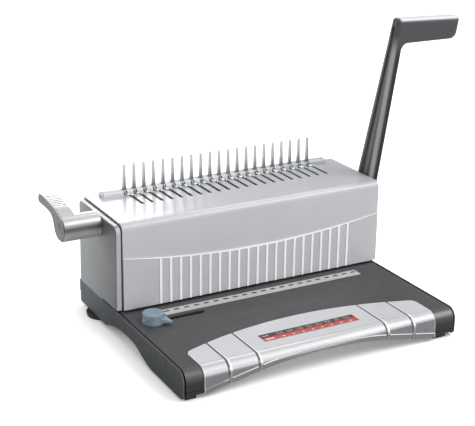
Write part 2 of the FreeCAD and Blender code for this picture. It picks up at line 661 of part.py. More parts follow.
# comb rail: rounded ridge with a notch in front of each finger
rail_l, rail_r = dim("rail_left", -197.5), dim("rail_right", 151.5)
b = body("comb_rail")
pad(b, "YZ", rail_l, rail_r, [[(128.2, cover_top), ("spline", [(128.7, 157.6), (130.0, 160.3), (133.0, 162.0), (137.0, 162.3), (141.5, 161.0), (145.0, 158.4), (147.0, cover_top)])]])
fillet(b, 2.4, lambda e: at(e, x=rail_l) and e.BoundBox.ZMax > 160, must=False)
fillet(b, 2.4, lambda e: at(e, x=rail_r) and e.BoundBox.ZMax > 160, must=False)
nt = pocket(b, "XY", cover_top - 1, 160.2, [[(comb_x - 2.6, 126), (comb_x + 2.6, 126), (comb_x + 2.6, 130.9), (comb_x - 2.6, 130.9)]])
linear(b, [nt], "X_Axis", pitch * 20, n_teeth)
fh = pocket(b, "XY", cover_top - 1, cover_top + 12, [[
    (comb_x - 3.0, finger_y - 2.5), (comb_x + 3.0, finger_y - 2.5), (comb_x + 3.0, finger_y + 2.5), (comb_x - 3.0, finger_y + 2.5)]])
linear(b, [fh], "X_Axis", pitch * 20, n_teeth)

# steel fingers on a strip that is screwed up under the cover
b = body("comb_strip")
pad(b, "XY", 147.5, cover_top - cover_thk, [[(-180, 129.2), (135.6, 129.2), (135.6, 138.4), (-180, 138.4)]])
sl = pocket(b, "XY", 147, 153, [[(comb_x - 2.7, finger_y - 2.2), (comb_x + 2.7, finger_y - 2.2), (comb_x + 2.7, finger_y + 2.2), (comb_x - 2.7, finger_y + 2.2)]])
linear(b, [sl], "X_Axis", pitch * 20, n_teeth)


def finger(x):
    z0, z1 = 147.5, finger_top.v
    y = finger_y.v
    lo = Part.makePolygon([V(x - 2.7, y - 2.2, z0), V(x + 2.7, y - 2.2, z0), V(x + 2.7, y + 2.2, z0), V(x - 2.7, y + 2.2, z0), V(x - 2.7, y - 2.2, z0)])
    mid = Part.makePolygon([V(x - 2.7, y - 2.2, 152), V(x + 2.7, y - 2.2, 152), V(x + 2.7, y + 2.2, 152), V(x - 2.7, y + 2.2, 152), V(x - 2.7, y - 2.2, 152)])
    hi = Part.makePolygon([V(x - 1.5, y - 1.7, z1), V(x + 1.5, y - 1.7, z1), V(x + 1.5, y + 1.7, z1), V(x - 1.5, y + 1.7, z1), V(x - 1.5, y - 1.7, z1)])
    a = Part.makeLoft([lo, mid], True, True)
    t = Part.makeLoft([mid, hi], True, True)
    s = a.fuse(t).removeSplitter()
    tops = [e for e in s.Edges if e.BoundBox.ZMin > z1 - 1e-3]
    longs = [e for e in s.Edges if e.BoundBox.ZMin > 151 and e.BoundBox.ZMax > z1 - 1e-3 and e.BoundBox.ZMin < z1 - 1]
    try:
        s = s.makeFillet(0.75, longs + tops)
    except Part.OCCError:
        s = s.makeChamfer(0.5, tops)
    return s


xs = [comb_x.v + i * pitch.v for i in range(int(n_teeth.v))]
f0 = finger(0.0)
row = []
for x in xs:
    c = f0.copy()
    c.translate(V(x, 0, 0))
    row.append(c)
solid_node("comb_fingers", Part.makeCompound(row))

# end caps: the left one stands off the cover by a shadow groove, the right one sits inside it
cap_top = dim("cap_top", 151.9)
b = body("left_end_cap")
cap_draft = dim("cap_draft", 1.4)
pad(b, "XZ", 25.4, 148.2, [[(-224.0 - cap_draft, panel_top), (-224.0, cap_top), (-217.6, cap_top), (-217.6 - cap_draft / 2, panel_top)]])
pocket(b, "XY", 30, panel_top + 2.2, [[(-230, 20), (-210, 20), (-210, 72.5), (-230, 72.5)]])
fillet(b, 9.5, lambda e: e.BoundBox.XLength > 5 and e.BoundBox.YLength < 0.01 and abs(e.BoundBox.YMin - 25.4) < 0.01 and e.BoundBox.ZMin > 150)
fillet(b, 6.0, lambda e: e.BoundBox.XLength > 5 and e.BoundBox.YLength < 0.01 and abs(e.BoundBox.YMin - 148.2) < 0.01 and e.BoundBox.ZMin > 150)


def on_cap_face(e):
    """Whether the edge runs in the slanted outer face."""
    pts = [e.valueAt(e.FirstParameter + (e.LastParameter - e.FirstParameter) * t) for t in (0.0, 0.3, 0.7, 1.0)]
    return all(abs(q.x - (-224.0 - cap_draft.v * (cap_top.v - q.z) / (cap_top.v - panel_top.v))) < 1e-3 for q in pts) and pts[0].z + pts[-1].z > 2 * 41


fillet(b, 1.6, on_cap_face, must=False)
pad(b, "YZ", -219.0, -212.0, [[(27.9, 39.6), (27.9, 145.2), ("arc", (29.804, 149.796), (34.4, 151.7)), (146.2, 151.7),
                               ("arc", (148.604, 150.704), (149.6, 148.3)), (149.6, 39.6)]])
pocket(b, "YZ", -213.9, -211, [[(30.4, 37), (30.4, 149.2), (147.1, 149.2), (147.1, 37)]])
pocket(b, "YZ", -230, -205, [("circle", open_y, open_z, 6.5)])
b = body("right_end_cap")
pad(b, "YZ", 166.6, 171.8, [[(27.9, 39.6), (27.9, 151.7), (149.6, 151.7), (149.6, 39.6)]])
fillet(b, 6.3, lambda e: along(e, "X") and at(e, y=27.9, z=151.7))
fillet(b, 3.0, lambda e: along(e, "X") and at(e, y=149.6, z=151.7))
pocket(b, "YZ", 165, 175, [("circle", shaft_y, shaft_z, 8.0)])
pocket(b, "YZ", 170.4, 175, [("circle", shaft_y, shaft_z, 14.0)])

# ================================================================ FRAME AND DIE
for label, x0 in (("left_frame_plate", frame_left), ("right_frame_plate", frame_right)):
    b = body(label)
    pad(b, "YZ", x0, x0 + frame_thk, [[(die_front, pan_low + pan_thk), (die_front, 118), (44, 132), (44, 146.8), (132, 146.8), (132, 120), (146, 96), (146, pan_low + pan_thk)]])
    pocket(b, "YZ", x0 - 1, x0 + frame_thk + 1, [("circle", shaft_y, shaft_z, 9.0), ("circle", open_y, open_z, 8.5)])
    pocket(b, "YZ", x0 - 1, x0 + frame_thk + 1, [("circle", 118, 60, 14.0), ("circle", 112, 108, 10.0)])

in_l, in_r = frame_left + frame_thk, frame_right
b = body("lower_die")
pad(b, "XY", pan_low + pan_thk, tray_top, [[(in_l, die_front), (in_r, die_front), (in_r, die_rear), (in_l, die_rear)]])
dx, dy = pin_w / 2 + pin_fit, pin_d / 2 + pin_fit
hole = pocket(b, "XY", 15, 40, [[(comb_x - dx, pin_y - dy), (comb_x + dx, pin_y - dy), (comb_x + dx, pin_y + dy), (comb_x - dx, pin_y + dy)]])
linear(b, [hole], "X_Axis", pitch * 20, n_teeth)
b = body("upper_die_guide")
pad(b, "XY", cover_low, 53.0, [[(in_l, die_front), (in_r, die_front), (in_r, die_rear), (in_l, die_rear)]])
hole = pocket(b, "XY", 38, 60, [[(comb_x - dx, pin_y - dy), (comb_x + dx, pin_y - dy), (comb_x + dx, pin_y + dy), (comb_x - dx, pin_y + dy)]])
linear(b, [hole], "X_Axis", pitch * 20, n_teeth)
node("paper_back_stop", box("paper_back_stop_bar", in_l, in_r, 45.5, die_rear, tray_top, cover_low))

# bushings, brass, flanged on the inside of each frame plate
def bushing(name, x0, flange_sign, y, z, bore, od, flange_od):
    body_ = rod(name + "_barrel", "X", od, x0, x0 + frame_thk, y, z)
    if flange_sign > 0:
        fl = rod(name + "_flange", "X", flange_od, x0 + frame_thk, x0 + frame_thk + 1.6, y, z)
    else:
        fl = rod(name + "_flange", "X", flange_od, x0 - 1.6, x0, y, z)
    return cut(name, fuse(name + "_blank", [body_, fl]), rod(name + "_bore", "X", bore, x0 - 4, x0 + frame_thk + 4, y, z))


c = doc.addObject("Part::Compound", "shaft_bushing_pair")
c.Links = [bushing("shaft_bush_l", frame_left, 1, shaft_y, shaft_z, shaft_r + run_fit, 9.0, 11.5),
           bushing("shaft_bush_r", frame_right, -1, shaft_y, shaft_z, shaft_r + run_fit, 9.0, 11.5)]
node("shaft_bushings", c)
c = doc.addObject("Part::Compound", "opener_bushing_pair")
c.Links = [bushing("opener_bush_l", frame_left, 1, open_y, open_z, 6.0 + run_fit, 8.5, 9.4),
           bushing("opener_bush_r", frame_right, -1, open_y, open_z, 6.0 + run_fit, 8.5, 9.4)]
node("opener_bushings", c)

# nylon guides that carry the hook plate on both frame plates
c = doc.addObject("Part::Compound", "carriage_guide_pair")
gl = cut("carriage_guide_l", box("cg_l", -206, -197.6, 48, 128, 146.8, 152.0), box("cg_l_groove", -200.3, -190, 40, 140, 150.15, 151.75))
gr = cut("carriage_guide_r", box("cg_r", 154.6, 163, 48, 128, 146.8, 152.0), box("cg_r_groove", 150, 157.3, 40, 140, 150.15, 151.75))
c.Links = [gl, gr]
node("carriage_guides", c)

node("spring_bar", box("spring_bar_rod", in_l, in_r, 44, 52, 128, 134))

# rails under the pan for the chip drawer
c = doc.addObject("Part::Compound", "drawer_rail_pair")
c.Links = [fuse("drawer_rail_l", [box("dr_l_web", -188.6, -186.6, 34, 148, 3.4, pan_low), box("dr_l_lip", -188.6, -179, 34, 148, 3.4, 4.7)]),
           fuse("drawer_rail_r", [box("dr_r_web", 139.6, 141.6, 34, 148, 3.4, pan_low), box("dr_r_lip", 132, 141.6, 34, 148, 3.4, 4.7)])]
node("drawer_rails", c)


# ================================================================ GEARS
def pinion_shape(module, teeth, x0, x1, y, z, face_dir, bore, lash):
    """Involute spur pinion, 20 degrees, with a tooth space facing the direction face_dir in the YZ plane."""
    rp = module * teeth / 2.0
    alpha = math.radians(20)
    rb, ra, rf = rp * math.cos(alpha), rp + module, rp - 1.25 * module
    inv = lambda a: math.tan(a) - a
    half = (math.pi * module / 2 - lash / 2) / (2 * rp)

    def psi(r):
        return half + inv(alpha) - inv(math.acos(min(1.0, rb / r)))
    r0 = max(rb, rf)
    pts = []
    for k in range(teeth):
        a = face_dir + math.pi / teeth + 2 * math.pi * k / teeth
        rs = [r0 + (ra - r0) * j / 6.0 for j in range(7)]
        left = [(r, a - psi(r)) for r in rs]
        right = [(r, a + psi(r)) for r in reversed(rs)]
        tooth = []
        if rf < r0:
            tooth.append((rf, left[0][1]))
        tooth += left + right
        if rf < r0:
            tooth.append((rf, right[-1][1]))
        pts += tooth
    vs = [V(x0, y + r * math.cos(a), z + r * math.sin(a)) for r, a in pts]
    vs.append(vs[0])
    face = Part.Face(Part.makePolygon(vs))
    solid = face.extrude(V(x1 - x0, 0, 0))
    return solid.cut(Part.makeCylinder(bore, x1 - x0 + 2, V(x0 - 1, y, z), V(1, 0, 0)))


def rack_profile(module, n0, n1, addendum, lash):
    """Rack teeth along u from tooth n0 to n1, tips at v = +addendum, roots at -1.25 module."""
    t = math.tan(math.radians(20))
    p = math.pi * module
    out = []
    for k in range(n0, n1 + 1):
        u = k * p
        hw = p / 4 - lash / 4
        out += [(u - hw - 1.25 * module * t, -1.25 * module), (u - hw + addendum * t, addendum),
                (u + hw - addendum * t, addendum), (u + hw + 1.25 * module * t, -1.25 * module)]
    return out


def gear_pair(label, shapes):
    solid_node(label, Part.makeCompound(shapes))


pinion_at = [(-197.0, -187.0), (144.0, 154.0)]
gear_pair("punch_pinions", [pinion_shape(pin_mod.v, int(pin_n.v), a, c_, shaft_y.v, shaft_z.v, math.pi, shaft_r.v, backlash.v) for a, c_ in pinion_at])
gear_pair("opener_pinions", [pinion_shape(opn_mod.v, int(opn_n.v), a, c_, open_y.v, open_z.v, math.pi / 2, 6.0, backlash.v) for a, c_ in pinion_at])

# punch racks: teeth towards +Y, pitch line one pitch radius in front of the shaft
rp = pin_mod.v * pin_n.v / 2
racks = []
prof = rack_profile(pin_mod.v, -3, 6, 0.9 * pin_mod.v, backlash.v)
for a, c_ in pinion_at:
    ys = shaft_y.v - rp
    pts = [V(a, ys + v, shaft_z.v + u) for u, v in prof]
    z_lo, z_hi = pts[0].z, pts[-1].z
    poly = [V(a, 62.0, z_lo)] + pts + [V(a, 62.0, z_hi)]
    poly.append(poly[0])
    racks.append(Part.Face(Part.makePolygon(poly)).extrude(V(c_ - a, 0, 0)))
gear_pair("punch_racks", racks)

# opener racks: teeth down, pitch line above the opener shaft
rp2 = opn_mod.v * opn_n.v / 2
racks = []
prof = rack_profile(opn_mod.v, -2, 11, 0.95 * opn_mod.v, backlash.v)
for a, c_ in pinion_at:
    zs = open_z.v + rp2
    pts = [V(a, open_y.v + u, zs - v) for u, v in prof]
    poly = [V(a, pts[0].y, 150.4)] + pts + [V(a, pts[-1].y, 150.4)]
    poly.append(poly[0])
    racks.append(Part.Face(Part.makePolygon(poly)).extrude(V(c_ - a, 0, 0)))
gear_pair("opener_racks", racks)

# ================================================================ PUNCH
b = body("punch_beam")
pad(b, "XY", 67.0, 87.0, [[(in_l + 1.5, 34), (in_r - 1.5, 34), (in_r - 1.5, 62), (in_l + 1.5, 62)]])
fillet(b, 1.5, lambda e: along(e, "X"), "PartDesign::Chamfer", must=False)
pocket(b, "XY", 60, 95, [[(in_l + 30, 47), (in_r - 30, 47), (in_r - 30, 57), (in_l + 30, 57)]])


def pin_shape(x):
    s = Part.makeBox(pin_w.v, pin_d.v, 67.0 - 42.4, V(x - pin_w.v / 2, pin_y.v - pin_d.v / 2, 42.4))
    return s.makeChamfer(0.35, [e for e in s.Edges if e.BoundBox.ZMax < 42.5 and e.BoundBox.XLength < 0.1])


solid_node("punch_pins", Part.makeCompound([pin_shape(x) for x in xs]))

node("punch_shaft", fuse("punch_shaft_body", [rod("punch_shaft_rod", "X", shaft_r, frame_left - 2.5, handle_x + 10.0, shaft_y, shaft_z),
                                              rod("punch_shaft_collar", "X", shaft_r + 1.6, frame_right + frame_thk + 0.6, handle_x, shaft_y, shaft_z)]))
node("opener_shaft", cut("opener_shaft_keyed", rod("opener_shaft_rod", "X", 6.0, -266.0, frame_right + frame_thk + 2.5, open_y, open_z),
                         rod("opener_shaft_key", "X", 1.7, -270, -256.0, open_y + 0.8, open_z + 6.3)))

# return springs of the punch beam, hung from the bar
def coil(x, y, z0, z1, radius, wire, turns):
    h = (z1 - z0 - wire)
    helix = Part.makeHelix(h / turns, h, radius)
    prof_ = Part.Wire(Part.Circle(V(radius, 0, 0), V(0, 1, 0), wire / 2).toShape())
    s = Part.Wire(helix.Edges).makePipeShell([prof_], True, True)
    s.translate(V(x, y, z0 + wire / 2))
    return s


solid_node("beam_springs", Part.makeCompound([coil(x, 48.0, 87.4, 127.6, 4.4, 1.3, 13) for x in (-182.0, 136.0)]))

# handle: a tapered arm tangent to its hub, with a channel on the inner face, and a grip that turns outward
b = body("handle_lever")
hub_r, arm_top = dim("handle_hub_r", 20.0), dim("handle_top", 385.0)
grip_low = dim("grip_low", 349.3)
pad(b, "YZ", handle_x, grip_end, [[
    (0.2, 390.0), (shaft_y - hub_r * 0.98060, shaft_z - hub_r * 0.19604), ("arc", (shaft_y + hub_r * 0.2335, shaft_z - hub_r * 0.97236),
    (shaft_y + hub_r * 0.96272, shaft_z + hub_r * 0.27050)), (16.8, 390.0)]])
arm_out = handle_x + handle_thk
pocket(b, "XZ", -20, 120, [[(arm_out, 50), (arm_out, grip_low - 8.5), ("arc", (arm_out + 2.49, grip_low - 2.49), (arm_out + 8.5, grip_low)),
                            (grip_end + 6, grip_low), (grip_end + 6, 50)]])
pocket(b, "XZ", -20, 120, [[(handle_x - 10, arm_top + 0.36), (grip_end + 10, arm_top - 3.96), (grip_end + 10, 400), (handle_x - 10, 400)]])
# the grip's free end is rounder below than above
pocket(b, "XZ", -20, 120, [[(grip_end - 10, grip_low), ("arc", (grip_end - 2.93, grip_low + 2.93), (grip_end, grip_low + 10)), (grip_end + 6, grip_low + 10),
                            (grip_end + 6, grip_low - 1), (grip_end - 10, grip_low - 1)]])
for r in (5.0, 4.6, 4.2, 3.8, 3.4, 3.0, 2.4):
    if fillet(b, r, lambda e: e.Length > 3.0, must=False):
        break
pocket(b, "YZ", handle_x - 5, handle_x + 3.0, [[(81.2, 120.0), (16.0, 370.0), ("arc", (12.9, 373.6), (9.8, 370.0)), (66.6, 120.0), ("arc", (73.9, 112.8), (81.2, 120.0))]])
pocket(b, "YZ", handle_x - 5, handle_x + 10.0, [("circle", shaft_y, shaft_z, shaft_r)])
pocket(b, "YZ", handle_x + 7, handle_x + 17, [("circle", shaft_y, shaft_z, 2.2)])
hub_blank = fuse("hub_cover_body", [rod("hub_cover_disc", "X", 12.4, handle_x + handle_thk, handle_x + handle_thk + 2.0, shaft_y, shaft_z),
                                    cone("hub_cover_dome", "X", 12.4, 10.2, handle_x + handle_thk + 2.0, handle_x + handle_thk + 3.4, shaft_y, shaft_z)])
node("handle_hub_cover", cut("hub_cover_bored", hub_blank, rod("hub_cover_hole", "X", 1.75, handle_x + handle_thk - 1, handle_x + handle_thk + 5, shaft_y, shaft_z)))

# ================================================================ OPENER
b = body("opener_lever")
hub_y, hub_z, boss_r = dim("opener_hub_y", 84.8), dim("opener_hub_z", 139.4), dim("opener_hub_r", 17.0)
lev = [(156.6, 165.2), ("spline", [(142.0, 165.4), (128.4, 164.4), (112.0, 162.6), (96.8, 160.4), (85.4, 157.2), (76.6, 154.3), (71.26, 149.67), (68.24, 143.23),
                                   (68.29, 135.35), (71.98, 128.23), (78.68, 123.54), (86.5, 122.3), (93.6, 122.8), (100.2, 126.1), (104.9, 131.2), (108.2, 139.2),
                                   (112.4, 146.0), (120.4, 150.2), (132.0, 151.6), (145.0, 151.9), (157.0, 152.3)]),
       ("arc", (162.6, 155.3), (162.2, 160.8)), ("arc", (160.2, 164.2), (156.6, 165.2))]
pad(b, "YZ", lever_x, lever_x + lever_w, [lev])
fillet(b, 1.8, lambda e: at(e, x=lever_x), must=False)
pad(b, "YZ", lever_x + lever_w - 1.0, -224.7, [("circle", hub_y, hub_z, boss_r)])
# cross ribs on top near the tip
for k in range(10):
    yk = 152.6 - 5.1 * k
    zk = 165.2 if k < 3 else 165.1 - 0.1 * (142.4 - yk)
    pad(b, "YZ", lever_x + 3.0, lever_x + lever_w - 0.6, [[(yk - 1.2, zk - 1.4), (yk - 1.2, zk + 0.3), ("arc", (yk, zk + 1.3), (yk + 1.2, zk + 0.3)), (yk + 1.2, zk - 1.4)]])
pocket(b, "YZ", -266.0, -220.0, [("circle", open_y, open_z, 6.0)])
# the locking screw runs along the joint of shaft and hub
lock_y, lock_z = open_y + 0.8, open_z + 6.3
pocket(b, "YZ", lever_x - 2, -256.0, [("circle", lock_y, lock_z, 1.7)])
pocket(b, "YZ", lever_x - 2, lever_x + 2.6, [("circle", lock_y, lock_z, 3.8)])
solid_node("opener_screw", screw_solid("X", 3.3, 2.0, 1.6, 16.6, lever_x.v + 0.6, lock_y.v, lock_z.v))
solid_node("handle_screw", screw_solid("X", 3.3, 2.0, 1.6, 7.5, handle_x.v + handle_thk.v + 5.4, shaft_y.v, shaft_z.v, True))

# hook plate: one sheet that slides under the cover, with the racks below its two arms
b = body("hook_plate")
pl, pr = in_l + 0.5, in_r - 0.5
pad(b, "XY", 150.4, 151.5, [[(pl, 126.9), (pl, 108), (-198.0, 108), (-198.0, 77.5), (-186.0, 77.5), (-186.0, 106), (143.0, 106), (143.0, 77.5), (155.0, 77.5), (155.0, 108), (pr, 108), (pr, 126.9)]])


def hook(x):
    """Flat shank in the slot, round arm over the cover to the foot of the finger, and a raised tip."""
    r = 0.8
    zc = cover_top.v + 0.45 + r
    shank = Part.makeBox(1.5, 5.0, zc - 151.5, V(x + slot_dx.v - 0.75, 120.4, 151.5))
    pts = [V(x + slot_dx.v, 122.4, zc), V(x + slot_dx.v - 0.6, 126.0, zc), V(x + 1.6, 127.3, zc), V(x + 0.1, 128.9, zc + 1.6), V(x - 0.6, 129.3, zc + 3.3)]
    out = shank
    for a, c2 in zip(pts[:-1], pts[1:]):
        out = out.fuse(Part.makeCylinder(r, (c2 - a).Length, a, c2 - a))
    for q in pts:
        out = out.fuse(Part.makeSphere(r, q))
    return out


h0 = hook(0.0)
row = []
for x in xs:
    c = h0.copy()
    c.translate(V(x, 0, 0))
    row.append(c)
solid_node("comb_hooks", Part.makeCompound(row))

# ================================================================ EDGE GUIDE
b = body("guide_slider")
pad(b, "XY", tray_top - tray_thk - 2.6, tray_top - tray_thk - 0.3, [[(guide_x - 11, guide_y - 8), (guide_x + 11, guide_y - 8), (guide_x + 11, guide_y + 8), (guide_x - 11, guide_y + 8)]])
pad(b, "XY", tray_top - tray_thk - 0.3, tray_top + 0.4, [[(guide_x - 8, guide_y - 2.9), (guide_x + 8, guide_y - 2.9), (guide_x + 8, guide_y + 4.9), (guide_x - 8, guide_y + 4.9)]])
pocket(b, "XY", 25, 40, [("circle", guide_x, guide_y, 2.05)])

b = body("guide_pointer")
pad(b, "XY", tray_top + 0.4, tray_top + 3.4, [("circle", guide_x, guide_y, 14.2)])
pad(b, "XY", tray_top + 3.0, tray_top + 6.0, [("circle", guide_x, guide_y, 13.5)])
fillet(b, 0.8, lambda e: at(e, z=tray_top + 3.4) and e.BoundBox.XLength > 10, must=False)
fillet(b, 0.6, lambda e: at(e, z=tray_top + 6.0), must=False)
pocket(b, "XY", 30, 50, [("circle", guide_x, guide_y, 2.05)])

pointer_body = b


# the pointer proper: a fin that falls from the knob's side to its tip at the ruler
def fin_section(along_by, half, z_low, z_high):
    dx, dy = 0.7143, -0.6999
    cx, cy = guide_x.v + dx * along_by, guide_y.v + dy * along_by
    q = [(-half, z_low), (half, z_low), (half, z_high), (-half, z_high), (-half, z_low)]
    return Part.makePolygon([V(cx - dy * t, cy + dx * t, tray_top.v + z) for t, z in q])


fin = doc.addObject("Part::Feature", "pointer_fin")
fin.Shape = Part.makeLoft([fin_section(6.0, 10.0, 3.0, 10.4), fin_section(25.6, 0.9, 3.0, 4.4)], True, True)
fin_cut = cut("pointer_fin_cut", fin, rod("pointer_knob_room", "Z", 13.9, tray_top + 6.0, tray_top + 20.0, guide_x, guide_y))
fin_bored = cut("pointer_fin_bored", fin_cut, rod("pointer_stud_room", "Z", 2.05, tray_top, tray_top + 20.0, guide_x, guide_y))
node("guide_pointer", fuse("pointer_with_fin", [pointer_body, fin_bored]))
pointer_body.Label = "pointer_disc"

b = body("guide_knob")
pad(b, "XY", tray_top + 6.3, tray_top + 13.4, [("circle", guide_x, guide_y, 13.6)])
fillet(b, 0.9, lambda e: at(e, z=tray_top + 13.4))
dish = b.newObject("Sketcher::SketchObject", "Sketch_dish")
dish.AttachmentSupport = [([f for f in b.Origin.OriginFeatures if f.Role == "XZ_Plane"][0], "")]
dish.MapMode = "FlatFace"
dish.AttachmentOffset = FreeCAD.Placement(V(0, 0, -guide_y.v), FreeCAD.Rotation())
dish.setExpression("AttachmentOffset.Base.z", (-guide_y).t)
gx, gz = guide_x.v, tray_top.v + 13.4
dish.addGeometry([Part.LineSegment(V(gx, gz - 1.5, 0), V(gx, gz + 2, 0)), Part.LineSegment(V(gx, gz + 2, 0), V(gx + 12.1, gz + 2, 0)),
                  Part.LineSegment(V(gx + 12.1, gz + 2, 0), V(gx + 12.1, gz, 0)), Part.Arc(V(gx + 12.1, gz, 0), V(gx + 6.3, gz - 1.12, 0), V(gx, gz - 1.5, 0))], False)
g = b.newObject("PartDesign::Groove", "Groove_dish")
g.Profile = dish
g.ReferenceAxis = (dish, ["Edge1"])
g.Angle = 360.0
doc.recompute()
node("knob_stud", fuse("knob_stud_body", [rod("knob_stud_rod", "Z", 2.0, 28.0, tray_top + 6.3, guide_x, guide_y),
                                          rod("knob_stud_nut", "Z", 4.5, 27.0, 31.3, guide_x, guide_y)]))

# ================================================================ CHIP DRAWER
b = body("chip_drawer")
dz = dim("drawer_bottom", 5.0)
pad(b, "XY", dz, 17.8, [[(-186.0, 34.0), (139.0, 34.0), (139.0, 149.4), (-186.0, 149.4)]])
pocket(b, "XY", dz + 1.6, 25, [[(-184.4, 35.6), (137.4, 35.6), (137.4, 147.6), (-184.4, 147.6)]])
b = body("drawer_front")
pad(b, "XZ", 149.4, 151.6, [[(-188.6, 3.6), (141.6, 3.6), (141.6, 20.2), (-188.6, 20.2)]])
pad(b, "XZ", 151.5, 156.0, [[(-50.0, 8.0), (10.0, 8.0), (10.0, 12.0), (-50.0, 12.0)]])
fillet(b, 1.4, lambda e: at(e, y=156.0), must=False)

# ================================================================ CHECK AND EXPORT
doc.recompute()
bad = [o.Label for o in doc.Objects if "Invalid" in o.State or "Error" in o.State]
if bad:
    raise RuntimeError("failed objects: " + ", ".join(bad))
os.makedirs("parts", exist_ok=True)
total = FreeCAD.BoundBox()
for label in sorted(nodes):
    shape = nodes[label].Shape
    if shape.isNull() or not shape.isValid() or not shape.Solids:
        raise RuntimeError("bad shape: " + label)
    total.add(shape.BoundBox)
    shape.exportStep(os.path.join("parts", label + ".step"))
print(len(nodes), "nodes; box", [round(q, 2) for q in (total.XMin, total.XMax, total.YMin, total.YMax, total.ZMin, total.ZMax)])
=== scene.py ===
import bpy
import bmesh
import math
from mathutils import Vector, Matrix

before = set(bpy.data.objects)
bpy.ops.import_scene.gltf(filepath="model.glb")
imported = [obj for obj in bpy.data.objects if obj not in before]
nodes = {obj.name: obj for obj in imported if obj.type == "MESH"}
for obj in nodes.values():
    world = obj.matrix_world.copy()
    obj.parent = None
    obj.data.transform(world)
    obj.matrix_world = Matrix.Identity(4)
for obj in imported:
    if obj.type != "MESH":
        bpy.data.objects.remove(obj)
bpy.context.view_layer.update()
MM = 0.001


# ------------------------------------------------------------------ node helpers
class Net:
    """Small helper around a material's node tree."""

    def __init__(self, name):
        self.mat = bpy.data.materials.new(name)
        self.mat.use_nodes = True
        self.t = self.mat.node_tree
        self.bsdf = self.t.nodes["Principled BSDF"]
        self.pos = self.new("ShaderNodeTexCoord").outputs["Object"]

    def new(self, kind, **props):
        n = self.t.nodes.new(kind)
        for k, v in props.items():
            setattr(n, k, v)
        return n

    def link(self, a, b):
        self.t.links.new(a, b)

    def put(self, socket, value):
        if hasattr(value, "node"):
            self.link(value, socket)
        else:
            socket.default_value = value

    def math(self, op, a, b=0.0, c=None, clamp=False):
        n = self.new("ShaderNodeMath", operation=op, use_clamp=clamp)
        self.put(n.inputs[0], a)
        self.put(n.inputs[1], b)
        if c is not None:
            self.put(n.inputs[2], c)
        return n.outputs[0]

    def axis(self, k, vector=None):
        n = self.new("ShaderNodeSeparateXYZ")
        self.link(vector or self.pos, n.inputs[0])
        return n.outputs[k]

    def scaled(self, s):
        n = self.new("ShaderNodeMapping")
        n.inputs["Scale"].default_value = s
        self.link(self.pos, n.inputs["Vector"])
        return n.outputs[0]

    def noise(self, scale, detail=2.0, rough=0.5, vector=None):
        n = self.new("ShaderNodeTexNoise")
        n.inputs["Scale"].default_value = scale
        n.inputs["Detail"].default_value = detail
        n.inputs["Roughness"].default_value = rough
        self.link(vector or self.pos, n.inputs["Vector"])
        return n.outputs["Fac"]

    def voronoi(self, scale, vector=None):
        n = self.new("ShaderNodeTexVoronoi")
        n.inputs["Scale"].default_value = scale
        self.link(vector or self.pos, n.inputs["Vector"])
        return n.outputs["Distance"]

    def ramp(self, fac, stops, mode="LINEAR"):
        n = self.new("ShaderNodeValToRGB")
        r = n.color_ramp
        r.interpolation = mode
        while len(r.elements) < len(stops):
            r.elements.new(0.5)
        for e, (p, c) in zip(r.elements, stops):
            e.position = p
            e.color = (*c, 1.0) if len(c) == 3 else c
        self.put(n.inputs[0], fac)
        return n.outputs[0]

    def remap(self, value, lo, hi, a=0.0, b=1.0, smooth=True):
        n = self.new("ShaderNodeMapRange")
        n.interpolation_type = "SMOOTHSTEP" if smooth else "LINEAR"
        n.clamp = True
        self.put(n.inputs["Value"], value)
        n.inputs["From Min"].default_value = lo
        n.inputs["From Max"].default_value = hi
        n.inputs["To Min"].default_value = a
        n.inputs["To Max"].default_value = b
        return n.outputs["Result"]

    def mix(self, fac, a, b, blend="MIX"):
        n = self.new("ShaderNodeMix", data_type="RGBA", blend_type=blend)
        self.put(n.inputs["Factor"], fac)
        for s, v in ((n.inputs[6], a), (n.inputs[7], b)):
            if hasattr(v, "node"):
                self.link(v, s)
            else:
                s.default_value = (*v, 1.0) if len(v) == 3 else v
        return n.outputs[2]

    def bump(self, height, strength, distance, normal=None):
        n = self.new("ShaderNodeBump")
        n.inputs["Strength"].default_value = strength
        n.inputs["Distance"].default_value = distance
        self.link(height, n.inputs["Height"])
        if normal is not None:
            self.link(normal, n.inputs["Normal"])
        return n.outputs[0]

    def band(self, value, lo, hi, soft=0.00005):
        """1 between lo and hi, 0 outside."""
        return self.math("MULTIPLY", self.remap(value, lo - soft, lo + soft), self.remap(value, hi - soft, hi + soft, 1.0, 0.0))

    def repeat(self, value, start, step):
        """Distance from the middle of the nearest of a row of marks."""
        f = self.math("SUBTRACT", self.math("FRACT", self.math("DIVIDE", self.math("SUBTRACT", value, start - step / 2), step)), 0.5)
        return self.math("MULTIPLY", self.math("ABSOLUTE", f), step)

    def done(self, color=None, rough=None, metal=None, normal=None, **sockets):
        b = self.bsdf.inputs
        if color is not None:
            if hasattr(color, "node"):
                self.link(color, b["Base Color"])
            else:
                b["Base Color"].default_value = (*color, 1.0)
        if rough is not None:
            self.put(b["Roughness"], rough)
        if metal is not None:
            self.put(b["Metallic"], metal)
        if normal is not None:
            self.link(normal, b["Normal"])
        for k, v in sockets.items():
            b[k.replace("_", " ")].default_value = v
        return self.mat


